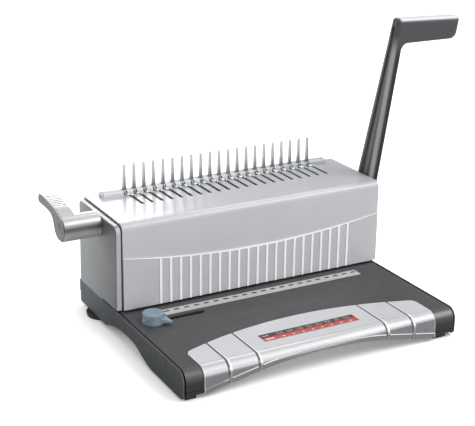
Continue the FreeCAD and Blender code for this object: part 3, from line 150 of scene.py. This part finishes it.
def paint(name, base, rough=0.36, coat=0.25, metal=0.0, mottle=0.03, spec=0.5, grain=0.05, shade=None, fleck=0.05):
    """Satin paint on metal or moulded plastic: slight colour drift, fine flakes and orange peel, faint rubbed patches."""
    n = Net(name)
    drift = n.noise(9.0, 3.0)
    lo = tuple(c * (1 - mottle) for c in base)
    hi = tuple(min(1.0, c * (1 + mottle)) for c in base)
    col = n.mix(n.remap(drift, 0.3, 0.7), lo, hi)
    fine = n.noise(2600.0, 2.0)
    col = n.mix(n.math("MULTIPLY", fine, fleck), col, tuple(c * 0.8 for c in base))
    if shade is not None:
        col = shade(n, col)
    wipe = n.noise(1.0, 3.0, 0.6, n.scaled((14.0, 60.0, 60.0)))
    r = n.math("ADD", n.remap(n.noise(45.0, 4.0, 0.6), 0.3, 0.7, rough - 0.03, rough + 0.04), n.remap(wipe, 0.45, 0.75, 0.0, 0.03))
    peel = n.noise(900.0, 3.0)
    nrm = n.bump(n.math("ADD", n.math("MULTIPLY", peel, 0.7), n.math("MULTIPLY", fine, 0.3)), grain, 0.0004)
    return n.done(col, r, metal, nrm, Coat_Weight=coat, Coat_Roughness=0.18, Specular_IOR_Level=spec)


def grained(name, base, rough=0.45, grain=0.25, spec=0.45, mottle=0.05, shade=None, coat=0.0, streak=0.0, polish=None):
    """Moulded plastic with a fine leather-like grain, handled areas a little smoother."""
    n = Net(name)
    cells = n.voronoi(1500.0)
    fine = n.noise(2400.0, 3.0, 0.6)
    drift = n.noise(14.0, 3.0)
    lo = tuple(c * (1 - mottle) for c in base)
    hi = tuple(min(1.0, c * (1 + mottle)) for c in base)
    col = n.mix(n.remap(drift, 0.3, 0.7), lo, hi)
    col = n.mix(n.remap(cells, 0.05, 0.5, 0.0, 0.18), col, tuple(c * 0.6 for c in base))
    if streak:
        line = n.noise(1.0, 3.0, 0.6, n.scaled((9.0, 420.0, 420.0)))
        col = n.mix(n.remap(line, 0.5, 0.75, 0.0, streak), col, tuple(min(1.0, c * 1.5 + 0.005) for c in base))
    if shade is not None:
        col = shade(n, col)
    worn = n.noise(22.0, 4.0, 0.65)
    r = n.math("SUBTRACT", n.remap(n.noise(70.0, 4.0, 0.6), 0.3, 0.7, rough - 0.03, rough + 0.05), n.remap(worn, 0.5, 0.75, 0.0, 0.05))
    if polish is not None:
        # smoother beyond this X, where hands rub it
        r = n.math("SUBTRACT", r, n.remap(n.axis(0), polish[0], polish[1], 0.0, polish[2]))
    h = n.math("ADD", n.math("MULTIPLY", cells, 0.6), n.math("MULTIPLY", fine, 0.5))
    nrm = n.bump(h, grain, 0.0003)
    return n.done(col, r, 0.0, nrm, Specular_IOR_Level=spec, Coat_Weight=coat, Coat_Roughness=0.25)


def metal(name, base, rough=0.3, brush=(40.0, 1800.0, 1800.0), contrast=0.12, grain=0.1, shade=None):
    """Brushed or ground metal, its scratches along one axis."""
    n = Net(name)
    streak = n.noise(1.0, 4.0, 0.6, n.scaled(brush))
    cloud = n.noise(30.0, 3.0)
    lo = tuple(c * (1 - contrast) for c in base)
    hi = tuple(min(1.0, c * (1 + contrast)) for c in base)
    col = n.mix(n.remap(streak, 0.3, 0.7), lo, hi)
    col = n.mix(n.math("MULTIPLY", n.remap(cloud, 0.4, 0.75), 0.25), col, tuple(c * 0.8 for c in base))
    if shade is not None:
        col = shade(n, col)
    r = n.remap(streak, 0.3, 0.7, rough - 0.06, rough + 0.08)
    nrm = n.bump(streak, grain, 0.0002)
    return n.done(col, r, 1.0, nrm)


def label_print():
    """Glossy printed strip: a black band of small columns of bars over a red band of pale dashes."""
    n = Net("size_label_print")
    x, y = n.axis(0), n.axis(1)
    x0, y0 = -0.1001, -0.1356
    red = n.mix(n.remap(n.noise(60.0, 2.0), 0.3, 0.7), (0.50, 0.045, 0.035), (0.56, 0.055, 0.04))
    black = n.mix(n.remap(n.noise(60.0, 2.0), 0.3, 0.7), (0.010, 0.010, 0.010), (0.016, 0.016, 0.016))
    upper = n.remap(y, -0.1262, -0.1260)
    col = n.mix(upper, red, black)
    # pale dashes in the red band, one per column
    dash = n.math("LESS_THAN", n.repeat(x, x0 + 0.0150 + 0.0140, 0.0140), 0.0019)
    dash = n.math("MULTIPLY", dash, n.band(y, -0.1318, -0.1302, 0.0001))
    dash = n.math("MULTIPLY", dash, n.remap(x, x0 + 0.020, x0 + 0.0205))
    # a pale block of fine bars at the left end of the red band
    bars = n.math("LESS_THAN", n.repeat(x, x0 + 0.003, 0.0016), 0.00055)
    left = n.math("MULTIPLY", n.band(x, x0 + 0.0035, x0 + 0.0165, 0.0001), n.band(y, -0.1322, -0.1286, 0.0001))
    left = n.math("MULTIPLY", left, n.math("ADD", 0.35, n.math("MULTIPLY", bars, 0.5)))
    # columns of small bars in the black band
    col_in = n.math("LESS_THAN", n.repeat(x, x0 + 0.0150 + 0.0140, 0.0140), 0.0047)
    tick = n.math("LESS_THAN", n.repeat(x, x0, 0.00130), 0.00038)
    broken = n.math("GREATER_THAN", n.noise(1.0, 0.0, 0.5, n.scaled((900.0, 420.0, 1.0))), 0.47)
    marks = n.math("MULTIPLY", n.math("MULTIPLY", col_in, tick), n.math("MULTIPLY", n.band(y, -0.1246, -0.1181, 0.0001), broken))
    marks = n.math("MULTIPLY", marks, n.remap(x, x0 + 0.020, x0 + 0.0205))
    head = n.math("MULTIPLY", n.band(x, x0 + 0.0040, x0 + 0.0125, 0.0001), n.band(y, -0.1222, -0.1206, 0.0001))
    col = n.mix(n.math("MULTIPLY", marks, 0.55), col, (0.62, 0.62, 0.60))
    col = n.mix(n.math("MULTIPLY", head, 0.8), col, (0.75, 0.75, 0.73))
    col = n.mix(n.math("MAXIMUM", dash, left), col, (0.86, 0.72, 0.68))
    # pale border along the front and both ends
    rim = n.math("SUBTRACT", 1.0, n.math("MULTIPLY", n.band(x, x0 + 0.0006, x0 + 0.1376, 0.0001), n.remap(y, y0 + 0.0005, y0 + 0.0007)))
    col = n.mix(rim, col, (0.72, 0.42, 0.38))
    fine = n.noise(1200.0, 2.0)
    nrm = n.bump(fine, 0.03, 0.0002)
    return n.done(col, n.remap(n.noise(50.0, 3.0), 0.3, 0.7, 0.22, 0.3), 0.0, nrm, Coat_Weight=0.35, Coat_Roughness=0.1)


# ------------------------------------------------------------------ materials
def cap_shade(n, col):
    # the outer face is slate, darkened towards the front by painted shade; its turned rim keeps the silver of the
    # housing, with painted shade along its top; the groove behind it is painted near black as shade
    x, z = n.axis(0), n.axis(2)
    face = n.math("SUBTRACT", x, n.remap(z, 0.0374, 0.1519, -0.2254, -0.2240, smooth=False))
    rim = n.remap(face, 0.0004, 0.0007)
    # painted shade: the slate face grows darker towards the front
    col = n.mix(n.remap(n.axis(1), 0.025, 0.150, 0.98, 0.0, smooth=False), col, (0.048, 0.058, 0.066))
    col = n.mix(rim, col, (0.42, 0.43, 0.44))
    # painted shade along the top of the rim
    col = n.mix(n.math("MULTIPLY", rim, n.remap(z, 0.1500, 0.1512, 0.0, 0.75)), col, (0.14, 0.15, 0.155))
    # painted shade: the groove behind the rim is coloured near black
    return n.mix(n.remap(x, -0.2178, -0.2174), col, (0.05, 0.05, 0.055))


TRIM_L, TRIM_R, TRIM_MID, TRIM_CROWN, TRIM_CORNER = -0.1975, 0.1360, -0.03075, -0.0852, -0.1174
SEAMS = (-0.1655, -0.1245, 0.0595, 0.0995)


def crown(n, gap=0.0):
    """Signed distance of a point from the trim's curved rear outline, positive outside it."""
    half = (TRIM_R - TRIM_L) / 2 - 0.0052
    sag = TRIM_CROWN - (TRIM_CORNER + 0.003)
    radius = (half * half + sag * sag) / (2 * sag)
    dx = n.math("SUBTRACT", n.axis(0), TRIM_MID)
    dy = n.math("SUBTRACT", n.axis(1), TRIM_CROWN - radius)
    d = n.math("SQRT", n.math("ADD", n.math("MULTIPLY", dx, dx), n.math("MULTIPLY", dy, dy)))
    return n.math("SUBTRACT", d, radius + gap)


def arch(n):
    """Height of the front arch's lower edge above the floor, from X."""
    d = n.math("ABSOLUTE", n.math("SUBTRACT", n.axis(0), TRIM_MID))
    rise, half = 0.0257 - 0.0166, 0.100
    radius = (half * half + rise * rise) / (2 * rise)
    inside = n.math("MAXIMUM", n.math("SUBTRACT", radius * radius, n.math("MULTIPLY", d, d)), 0.0)
    curve = n.math("ADD", n.math("SQRT", inside), 0.0257 - radius)
    line = n.math("SUBTRACT", 0.0166, n.math("MULTIPLY", n.math("SUBTRACT", d, half), 0.1858))
    near = n.math("LESS_THAN", d, half)
    return n.math("ADD", n.math("MULTIPLY", near, curve), n.math("MULTIPLY", n.math("SUBTRACT", 1.0, near), line))


def trim_shade(n, col):
    """The front face is painted darker than the top as shade, and the shoulder above the crest carries painted shade;
    each joint has a gap painted dark as shade and a bevel beside it with a painted highlight; painted highlights also
    run along the lip, the rear outline and the ends.
    """
    x, y, z = n.axis(0), n.axis(1), n.axis(2)
    # painted shade: the front face below the roll is darkened, and the start of the dark moves with X
    rolled = n.math("SUBTRACT", z, n.remap(x, -0.19, 0.10, -0.0002, 0.0028, smooth=False))
    front = n.remap(rolled, 0.0250, 0.0290, 1.0, 0.0)
    edge_on = n.remap(y, -0.158, -0.1575, 1.0, 0.0)
    front = n.math("MULTIPLY", front, edge_on)
    strip, gap, bevel = 0.0, 0.0, 0.0
    wide = n.remap(y, -0.160, -0.140, 0.0030, 0.0012)
    # painted shade in each seam gap; painted highlight on the strip and bevel beside it
    for sx in SEAMS:
        gap = n.math("MAXIMUM", gap, n.band(x, sx - 0.0007, sx + 0.0026, 0.0002))
        strip = n.math("MAXIMUM", strip, n.band(x, sx + 0.0026, sx + 0.0050, 0.0003))
        off = n.math("SUBTRACT", x, sx + 0.0026)
        bevel = n.math("MAXIMUM", bevel, n.math("MULTIPLY", n.math("GREATER_THAN", off, 0.0), n.math("LESS_THAN", off, wide)))
    dark = n.math("MULTIPLY", front, n.math("SUBTRACT", 0.90, n.math("MULTIPLY", strip, 0.25)))
    # painted shade on the shoulder above the crest
    shoulder = n.math("MULTIPLY", n.remap(rolled, 0.0308, 0.0345), n.remap(y, -0.1498, -0.1506))
    col = n.mix(n.math("MULTIPLY", shoulder, 0.28), col, (0.20, 0.20, 0.21))
    col = n.mix(dark, col, (0.115, 0.115, 0.125))
    over = n.math("SUBTRACT", z, arch(n))
    # painted highlight along the lip line, with a band of painted shade under it (under)
    lip = n.math("MULTIPLY", n.math("MULTIPLY", n.band(over, 0.0060, 0.0070, 0.0002), n.remap(y, -0.1640, -0.1636, 1.0, 0.0)), n.math("SUBTRACT", 1.0, strip))
    lip = n.math("MULTIPLY", lip, n.remap(x, -0.175, -0.165, 0.3, 1.0))
    under = n.math("MULTIPLY", n.math("MULTIPLY", n.band(over, 0.0046, 0.0060, 0.0002), n.remap(y, -0.1640, -0.1636, 1.0, 0.0)), 0.35)
    col = n.mix(under, col, (0.10, 0.10, 0.105))
    col = n.mix(n.math("MULTIPLY", lip, 0.75), col, (0.90, 0.90, 0.90))
    # painted highlight on the bevel beside each seam
    upper = n.math("MULTIPLY", bevel, n.remap(z, 0.0235, 0.0290))
    col = n.mix(n.math("MULTIPLY", upper, 0.70), col, (0.90, 0.90, 0.90))
    # painted highlight along the rear outline and at both ends of the trim
    rim = n.math("MULTIPLY", n.band(crown(n), -0.0011, 0.0010, 0.0002), n.remap(z, 0.0340, 0.0345))
    ends = n.math("SUBTRACT", 1.0, n.band(x, TRIM_L + 0.0009, TRIM_R - 0.0011, 0.0002))
    col = n.mix(n.math("MULTIPLY", n.math("MAXIMUM", rim, ends), 0.45), col, (0.90, 0.90, 0.90))
    # painted shade in the seam gaps, weaker low on the front
    return n.mix(n.math("MULTIPLY", gap, n.remap(z, 0.0200, 0.0240, 0.35, 0.92)), col, (0.05, 0.05, 0.052))


def panel_shade(n, col):
    """Painted light: paler towards the rear, and a paler rim along the upper and front edge of the left panel as a
    painted highlight.
    """
    x, y = n.axis(0), n.axis(1)
    # painted light: the panel grows paler towards the rear
    col = n.mix(n.remap(y, 0.020, 0.150, 0.0, 1.0), col, (0.100, 0.112, 0.120))
    # painted highlight along the upper and front edge
    rim = n.band(x, -0.22545, -0.22350, 0.0001)
    return n.mix(n.math("MULTIPLY", rim, 0.85), col, (0.085, 0.085, 0.087))


def tray_shade(n, col):
    """Painted shade: a dark line in the gap round the trim, a painted shadow in front of the cover, the ruler recess
    painted dark, and the turned-down front darker than the top; a painted highlight runs along the crest of the roll.
    """
    x, y, z = n.axis(0), n.axis(1), n.axis(2)
    # painted shade in the gap round the trim
    rear = n.math("MULTIPLY", n.band(crown(n), -0.0004, 0.0013, 0.0002), n.math("MULTIPLY", n.band(x, TRIM_L + 0.003, TRIM_R - 0.003, 0.0005), n.remap(y, -0.1200, -0.1190)))
    side = n.math("MULTIPLY", n.math("SUBTRACT", 1.0, n.band(x, TRIM_L - 0.0014, TRIM_R + 0.0014, 0.0002)), 0.0)
    near = n.math("MULTIPLY", n.band(x, TRIM_L - 0.0014, TRIM_R + 0.0014, 0.0002), n.remap(y, -0.1180, -0.1190))
    line = n.math("MAXIMUM", n.math("MAXIMUM", rear, side), near)
    col = n.mix(n.math("MULTIPLY", line, 0.85), col, (0.008, 0.008, 0.008))
    # painted shadow on the tray just in front of the cover
    under = n.math("MULTIPLY", n.remap(y, 0.0165, 0.0215), n.band(x, -0.2155, 0.1726, 0.0010))
    col = n.mix(n.math("MULTIPLY", under, 0.90), col, (0.006, 0.006, 0.006))
    # painted shade on the floor of the ruler recess
    cut = n.math("MULTIPLY", n.band(y, -0.0084, 0.0082, 0.0002), n.remap(z, 0.03655, 0.03665, 1.0, 0.0))
    col = n.mix(n.math("MULTIPLY", cut, n.remap(z, 0.0350, 0.0355)), col, (0.006, 0.006, 0.006))
    # painted highlight along the crest of the turned-down front, stronger to the right
    crest = n.math("MULTIPLY", n.math("MULTIPLY", n.remap(z, 0.0270, 0.0325), n.remap(z, 0.0325, 0.0362, 1.0, 0.0)), n.remap(y, -0.150, -0.153))
    col = n.mix(n.math("MULTIPLY", crest, n.remap(x, -0.19, 0.13, 0.25, 1.0)), col, (0.24, 0.24, 0.25))
    # painted shade on the lower part of the turned-down front
    low = n.math("MULTIPLY", n.remap(z, 0.0190, 0.0290, 1.0, 0.0), n.remap(y, -0.1580, -0.1570, 1.0, 0.0))
    return n.mix(n.math("MULTIPLY", low, 0.93), col, (0.007, 0.006, 0.006))


COMB_X, PITCH = -0.1649, 0.0142875
SLOT_DX, SLOT_FRONT, SLOT_BACK = 0.0062, 0.0875, 0.1270


def lever_shade(n, col):
    """Satin casting with a pale crown; painted highlights on the ribs, painted shade in the gaps between them, on the
    flat end and along the flank of the hub, and a paler band low on the hub as a painted reflection.
    """
    x, y, z = n.axis(0), n.axis(1), n.axis(2)
    end = n.remap(x, -0.2752, -0.2746, 1.0, 0.0)
    # painted shade along the flank of the hub; a paler painted reflection low on the hub
    flank = n.math("MULTIPLY", n.band(z, 0.1375, 0.1475, 0.0045), n.remap(y, 0.0835, 0.0860, 1.0, 0.0))
    low = n.math("MULTIPLY", n.remap(z, 0.1300, 0.1390, 1.0, 0.0), n.remap(y, 0.0900, 0.0960, 1.0, 0.0))
    col = n.mix(n.math("MULTIPLY", low, 0.25), col, (0.40, 0.40, 0.41))
    col = n.mix(n.math("MULTIPLY", flank, 0.92), col, (0.045, 0.045, 0.045))
    # painted shade in the gaps between the ribs, painted highlight on the ribs
    rib = n.math("LESS_THAN", n.repeat(y, 0.1526, 0.0051), 0.00125)
    field = n.math("MULTIPLY", n.math("MULTIPLY", n.band(y, 0.1052, 0.1550, 0.0003), n.remap(n.math("SUBTRACT", z, n.remap(y, 0.1050, 0.1424, 0.1588, 0.1632, smooth=False)), -0.0003, 0.0003)), n.remap(x, -0.2725, -0.2720))
    col = n.mix(n.math("MULTIPLY", field, n.math("SUBTRACT", 1.0, rib)), col, (0.045, 0.045, 0.045))
    col = n.mix(n.math("MULTIPLY", n.math("MULTIPLY", field, rib), 0.9), col, (0.93, 0.93, 0.92))
    # painted shade on the flat end
    return n.mix(n.math("MULTIPLY", end, 0.94), col, (0.075, 0.075, 0.075))


def rail_shade(n, col):
    """The notch in front of each finger lies in painted shadow; painted shade darkens the right end and the rear of the
    rail.
    """
    x, y, z = n.axis(0), n.axis(1), n.axis(2)
    notch = n.math("MULTIPLY", n.math("LESS_THAN", n.repeat(x, COMB_X, PITCH), 0.0027), n.remap(y, 0.1306, 0.1312, 1.0, 0.0))
    notch = n.math("MULTIPLY", notch, n.remap(z, 0.1600, 0.1604, 1.0, 0.0))
    notch = n.math("MULTIPLY", notch, n.band(x, COMB_X - 0.004, COMB_X + 20 * PITCH + 0.004, 0.0001))
    col = n.mix(n.math("MULTIPLY", notch, 0.92), col, (0.03, 0.03, 0.03))
    # painted shade darkens the rear of the rail (back) and the rail towards its right end
    back = n.math("MULTIPLY", n.remap(y, 0.1385, 0.1415), 0.35)
    col = n.mix(n.remap(x, -0.10, 0.14, 0.0, 0.55, smooth=False), col, (0.27, 0.28, 0.28))
    return n.mix(back, col, (0.22, 0.225, 0.23))


def finger_shade(n, col):
    z = n.axis(2)
    # painted shade: the fingers darken towards their base
    return n.mix(n.remap(z, 0.158, 0.180, 0.72, 0.0), col, (0.10, 0.10, 0.10))


def handle_shade(n, col):
    """Painted light: highlights along the inner front edge and the rear border of the arm and over the top of the grip,
    the recess lifted out of its shade, and painted shade on the outer side of the arm.
    """
    x, y, z = n.axis(0), n.axis(1), n.axis(2)
    depth = n.math("ADD", n.math("MULTIPLY", n.math("SUBTRACT", y, 0.0614), 0.9806), n.math("MULTIPLY", n.math("SUBTRACT", z, 0.0841), 0.1960))
    across = n.math("SUBTRACT", x, 0.1745)
    # painted highlight along the inner front edge of the arm
    edge = n.math("MULTIPLY", n.remap(depth, 0.0025, 0.0085, 1.0, 0.0), n.remap(across, 0.0014, 0.0052, 1.0, 0.0))
    edge = n.math("MULTIPLY", edge, n.remap(z, 0.335, 0.365, 1.0, 0.0))
    # painted shade on the outer side of the arm
    far = n.math("MULTIPLY", n.remap(across, 0.0026, 0.0085), n.remap(z, 0.330, 0.350, 1.0, 0.0))
    col = n.mix(n.math("MULTIPLY", far, 0.85), col, (0.012, 0.012, 0.014))
    col = n.mix(n.math("MULTIPLY", edge, 0.9), col, (0.42, 0.42, 0.425))
    # painted highlight along the rear border of the arm
    rear = n.math("MULTIPLY", n.remap(n.math("ADD", n.math("MULTIPLY", n.math("SUBTRACT", y, 0.1003), 0.9627), n.math("MULTIPLY", n.math("SUBTRACT", z, 0.0934), 0.2705)), -0.0075, -0.0055), n.remap(across, 0.0040, 0.0055, 1.0, 0.0))
    col = n.mix(n.math("MULTIPLY", n.math("MULTIPLY", rear, n.remap(z, 0.350, 0.370, 1.0, 0.0)), 0.85), col, (0.24, 0.24, 0.25))
    # painted light lifting the recess out of its shade
    recess = n.math("MULTIPLY", n.band(across, 0.0022, 0.0034, 0.0003), n.remap(depth, 0.0050, 0.0065))
    col = n.mix(n.math("MULTIPLY", recess, 0.9), col, (0.23, 0.23, 0.24))
    # distance below the sloping top of the grip
    below = n.math("SUBTRACT", n.math("SUBTRACT", 0.3850, n.math("MULTIPLY", n.math("SUBTRACT", x, 0.1745), 0.0357)), z)
    # painted highlight over the top of the grip, fading through teal-grey
    grip = n.remap(x, 0.1765, 0.1810)
    col = n.mix(n.math("MULTIPLY", grip, n.remap(below, 0.0040, 0.0085, 1.0, 0.0)), col, (0.090, 0.108, 0.114))
    return n.mix(n.math("MULTIPLY", grip, n.remap(below, 0.0016, 0.0050, 1.0, 0.0)), col, (0.66, 0.68, 0.68))


def housing_shade(n, col):
    """Painted shade: a darker border round each slot, stronger towards the left."""
    x, y, z = n.axis(0), n.axis(1), n.axis(2)
    near = n.math("LESS_THAN", n.repeat(x, COMB_X + SLOT_DX, PITCH), 0.00275)
    run = n.band(y, SLOT_FRONT - 0.0008, SLOT_BACK + 0.0008, 0.0001)
    rim = n.math("MULTIPLY", n.math("MULTIPLY", near, run), n.remap(z, 0.1500, 0.1505))
    rim = n.math("MULTIPLY", rim, n.band(x, COMB_X + SLOT_DX - 0.004, COMB_X + SLOT_DX + 20 * PITCH + 0.004, 0.0001))
    # painted shade round each slot, fading towards the right
    return n.mix(n.math("MULTIPLY", rim, n.remap(x, -0.10, 0.12, 0.80, 0.45, smooth=False)), col, (0.085, 0.088, 0.09))


def ruler_shade(n, col):
    x, y = n.axis(0), n.axis(1)
    # painted shade in the dash holes of the ruler
    mark = n.math("MULTIPLY", n.math("LESS_THAN", n.repeat(x, COMB_X - 0.0012, PITCH), 0.0038), n.band(y, 0.0008, 0.0042, 0.0001))
    return n.mix(n.math("MULTIPLY", mark, 0.9), col, (0.02, 0.02, 0.02))


mats = {
    # the front ribs are near-white: a paler finish, brightened further as a painted highlight
    "ribs": paint("rib_white", (0.95, 0.95, 0.95), rough=0.3, coat=0.3, grain=0.02),
    "label": label_print(),
    "housing": paint("housing_silver", (0.50, 0.505, 0.530), rough=0.34, coat=0.35, grain=0.03, shade=housing_shade),
    "cap": paint("cap_slate", (0.31, 0.325, 0.34), rough=0.36, coat=0.2, shade=cap_shade, grain=0.03),
    "tray": grained("tray_charcoal", (0.060, 0.059, 0.062), rough=0.46, grain=0.2, shade=tray_shade, streak=0.12),
    "panel": grained("panel_slate", (0.019, 0.025, 0.029), rough=0.48, grain=0.15, spec=0.32, shade=panel_shade),
    "trim": paint("trim_silver", (0.60, 0.60, 0.62), rough=0.3, coat=0.4, shade=trim_shade, grain=0.01, fleck=0.02),
    "ruler": grained("ruler_pale", (0.56, 0.56, 0.56), rough=0.5, grain=0.1, shade=ruler_shade),
    "rubber": grained("rubber_black", (0.02, 0.02, 0.02), rough=0.6, grain=0.4),
    "rail": paint("rail_pale", (0.55, 0.575, 0.60), rough=0.26, coat=0.6, grain=0.02, shade=rail_shade),
    "finger": metal("finger_steel", (0.62, 0.62, 0.62), rough=0.28, brush=(1500.0, 1500.0, 60.0), shade=finger_shade),
    "hook": metal("hook_steel", (0.9, 0.9, 0.9), rough=0.15),
    "steel": metal("frame_steel", (0.5, 0.51, 0.53), rough=0.35),
    "die": metal("die_steel", (0.36, 0.36, 0.38), rough=0.3),
    "brass": metal("bush_brass", (0.75, 0.55, 0.25), rough=0.3),
    "nylon": grained("nylon_white", (0.7, 0.7, 0.66), rough=0.4, grain=0.1),
    "spring": metal("spring_steel", (0.45, 0.45, 0.47), rough=0.25),
    "screw": metal("screw_zinc", (0.62, 0.62, 0.63), rough=0.3),
    "handle": grained("handle_charcoal", (0.082, 0.081, 0.089), rough=0.46, grain=0.02, spec=0.16, shade=handle_shade, polish=(0.186, 0.192, 0.16)),
    "lever": paint("lever_silver", (0.58, 0.58, 0.575), rough=0.29, coat=0.1, metal=0.45, grain=0.003, mottle=0.01, fleck=0.0, shade=lever_shade),
    "knob": paint("knob_blue", (0.20, 0.27, 0.335), rough=0.3, coat=0.4),
    "drawer": grained("drawer_black", (0.03, 0.03, 0.033), rough=0.5, grain=0.3),
}
of_node = {
    "base_pan": "steel", "base_rear_wall": "panel", "left_side_panel": "panel", "right_side_panel": "panel", "tray_cover": "tray",
    "front_trim": "trim", "size_label": "label", "hole_ruler": "ruler", "front_feet": "rubber", "rear_feet": "rubber", "foot_screws": "screw",
    "main_cover": "housing", "front_ribs": "ribs", "rear_cover": "cap", "rear_screws": "screw", "comb_rail": "rail", "comb_strip": "steel", "comb_fingers": "finger",
    "left_end_cap": "cap", "right_end_cap": "cap", "left_frame_plate": "steel", "right_frame_plate": "steel", "lower_die": "die",
    "upper_die_guide": "die", "paper_back_stop": "steel", "shaft_bushings": "brass", "opener_bushings": "brass", "carriage_guides": "nylon",
    "spring_bar": "steel", "drawer_rails": "panel", "beam_springs": "spring", "handle_lever": "handle", "handle_hub_cover": "handle",
    "handle_screw": "screw", "punch_shaft": "die", "punch_pinions": "die", "punch_beam": "die", "punch_pins": "die", "punch_racks": "die",
    "opener_lever": "lever", "opener_shaft": "die", "opener_pinions": "nylon", "opener_screw": "die", "hook_plate": "steel",
    "comb_hooks": "hook", "opener_racks": "nylon", "guide_slider": "knob", "guide_pointer": "knob", "guide_knob": "knob",
    "knob_stud": "screw", "chip_drawer": "drawer", "drawer_front": "drawer",
}
for name, key in of_node.items():
    o = nodes[name]
    o.data.materials.clear()
    o.data.materials.append(mats[key])

# ------------------------------------------------------------------ floor, light, camera
def mesh_object(name, verts, faces, material, smooth=False):
    me = bpy.data.meshes.new(name)
    me.from_pydata(verts, [], faces)
    me.update()
    o = bpy.data.objects.new(name, me)
    bpy.context.scene.collection.objects.link(o)
    me.materials.append(material)
    for p in me.polygons:
        p.use_smooth = smooth
    return o


n = Net("studio_floor")
path = n.new("ShaderNodeLightPath")
seen = n.math("MAXIMUM", path.outputs["Is Camera Ray"], n.math("MULTIPLY", path.outputs["Is Glossy Ray"], 0.45))
fl = n.mix(n.remap(n.noise(1.5, 2.0), 0.3, 0.7), (0.91, 0.91, 0.90), (0.93, 0.93, 0.92))
fl = n.mix(seen, (0.42, 0.42, 0.42), fl)
# painted contact shadow: ambient occlusion dims the floor's glow near the machine
contact = n.new("ShaderNodeAmbientOcclusion")
contact.samples = 8
contact.inputs["Distance"].default_value = 0.040
near = n.remap(contact.outputs["AO"], 0.25, 0.95, 0.15, 1.0, smooth=False)
floor_mat = n.done(fl, 0.9, 0.0, Specular_IOR_Level=0.1)
n.bsdf.inputs["Emission Color"].default_value = (1.0, 1.0, 0.985, 1.0)
n.link(n.math("MULTIPLY", n.math("MULTIPLY", seen, near), 0.47), n.bsdf.inputs["Emission Strength"])
floor = mesh_object("studio_floor", [(-14, -14, -0.0002), (14, -14, -0.0002), (14, 14, -0.0002), (-14, 14, -0.0002)], [(0, 1, 2, 3)], floor_mat)

scene = bpy.context.scene
world = bpy.data.worlds.new("studio_world")
scene.world = world
world.use_nodes = True
wt = world.node_tree
bg = wt.nodes["Background"]
tc = wt.nodes.new("ShaderNodeTexCoord")
sep = wt.nodes.new("ShaderNodeSeparateXYZ")
wt.links.new(tc.outputs["Generated"], sep.inputs[0])
rampn = wt.nodes.new("ShaderNodeValToRGB")
rr = rampn.color_ramp
stops = [(0.0, 0.42), (0.15, 0.42), (0.45, 0.55), (0.75, 1.0), (1.0, 1.1)]
while len(rr.elements) < len(stops):
    rr.elements.new(0.5)
for e, (p, v) in zip(rr.elements, stops):
    e.position = p
    e.color = (v, v, v * 1.01, 1.0)
wt.links.new(sep.outputs[2], rampn.inputs[0])
wt.links.new(rampn.outputs[0], bg.inputs[0])
bg.inputs[1].default_value = 0.56


def softbox(name, loc, target, size, size_y, power, color=(1, 1, 1)):
    d = bpy.data.lights.new(name, "AREA")
    d.shape = "RECTANGLE"
    d.size, d.size_y = size, size_y
    d.energy = power
    d.color = color
    o = bpy.data.objects.new(name, d)
    scene.collection.objects.link(o)
    o.location = loc
    o.rotation_mode = "QUATERNION"
    o.rotation_quaternion = (Vector(target) - Vector(loc)).to_track_quat("-Z", "Y")
    return o


softbox("key_front_right", (1.10, -1.12, 1.75), (0.0, 0.02, 0.1), 1.5, 1.2, 27.5)
softbox("rear_sheen", (0.40, 2.45, 1.05), (-0.1, 0.08, 0.15), 1.1, 0.8, 20.0)
softbox("fill_front", (-0.2, -2.6, 0.9), (0.0, 0.0, 0.1), 1.6, 0.9, 30.5)
softbox("sheen_left_rear", (-1.5, 1.35, 0.5), (-0.1, 0.06, 0.15), 0.9, 0.7, 16.0)
softbox("top_rear", (0.95, 0.85, 1.95), (0.0, 0.05, 0.15), 0.8, 0.5, 9.0)

# camera solved from the straight edges of the machine
yaw, pitch, roll = 0.5064, 0.3442, 0.0130
fwd = Vector((math.sin(yaw) * math.cos(pitch), math.cos(yaw) * math.cos(pitch), -math.sin(pitch)))
right0 = Vector((math.cos(yaw), -math.sin(yaw), 0.0))
up0 = right0.cross(fwd)
right = right0 * math.cos(roll) + up0 * math.sin(roll)
up = right0 * -math.sin(roll) + up0 * math.cos(roll)
cam_data = bpy.data.cameras.new("camera")
cam_data.sensor_fit = "HORIZONTAL"
cam_data.sensor_width = 36.0
cam_data.lens = 1208.17 * 36.0 / 475.0
cam_data.clip_start, cam_data.clip_end = 0.05, 60.0
cam = bpy.data.objects.new("camera", cam_data)
scene.collection.objects.link(cam)
cam.matrix_world = Matrix.Translation(Vector((-0.773295, -1.275997, 0.677640))) @ Matrix((right, up, -fwd)).transposed().to_4x4()
scene.camera = cam
scene.view_settings.view_transform = "Standard"
scene.view_settings.look = "None"
scene.view_settings.exposure = 0.0
scene.view_settings.gamma = 1.0
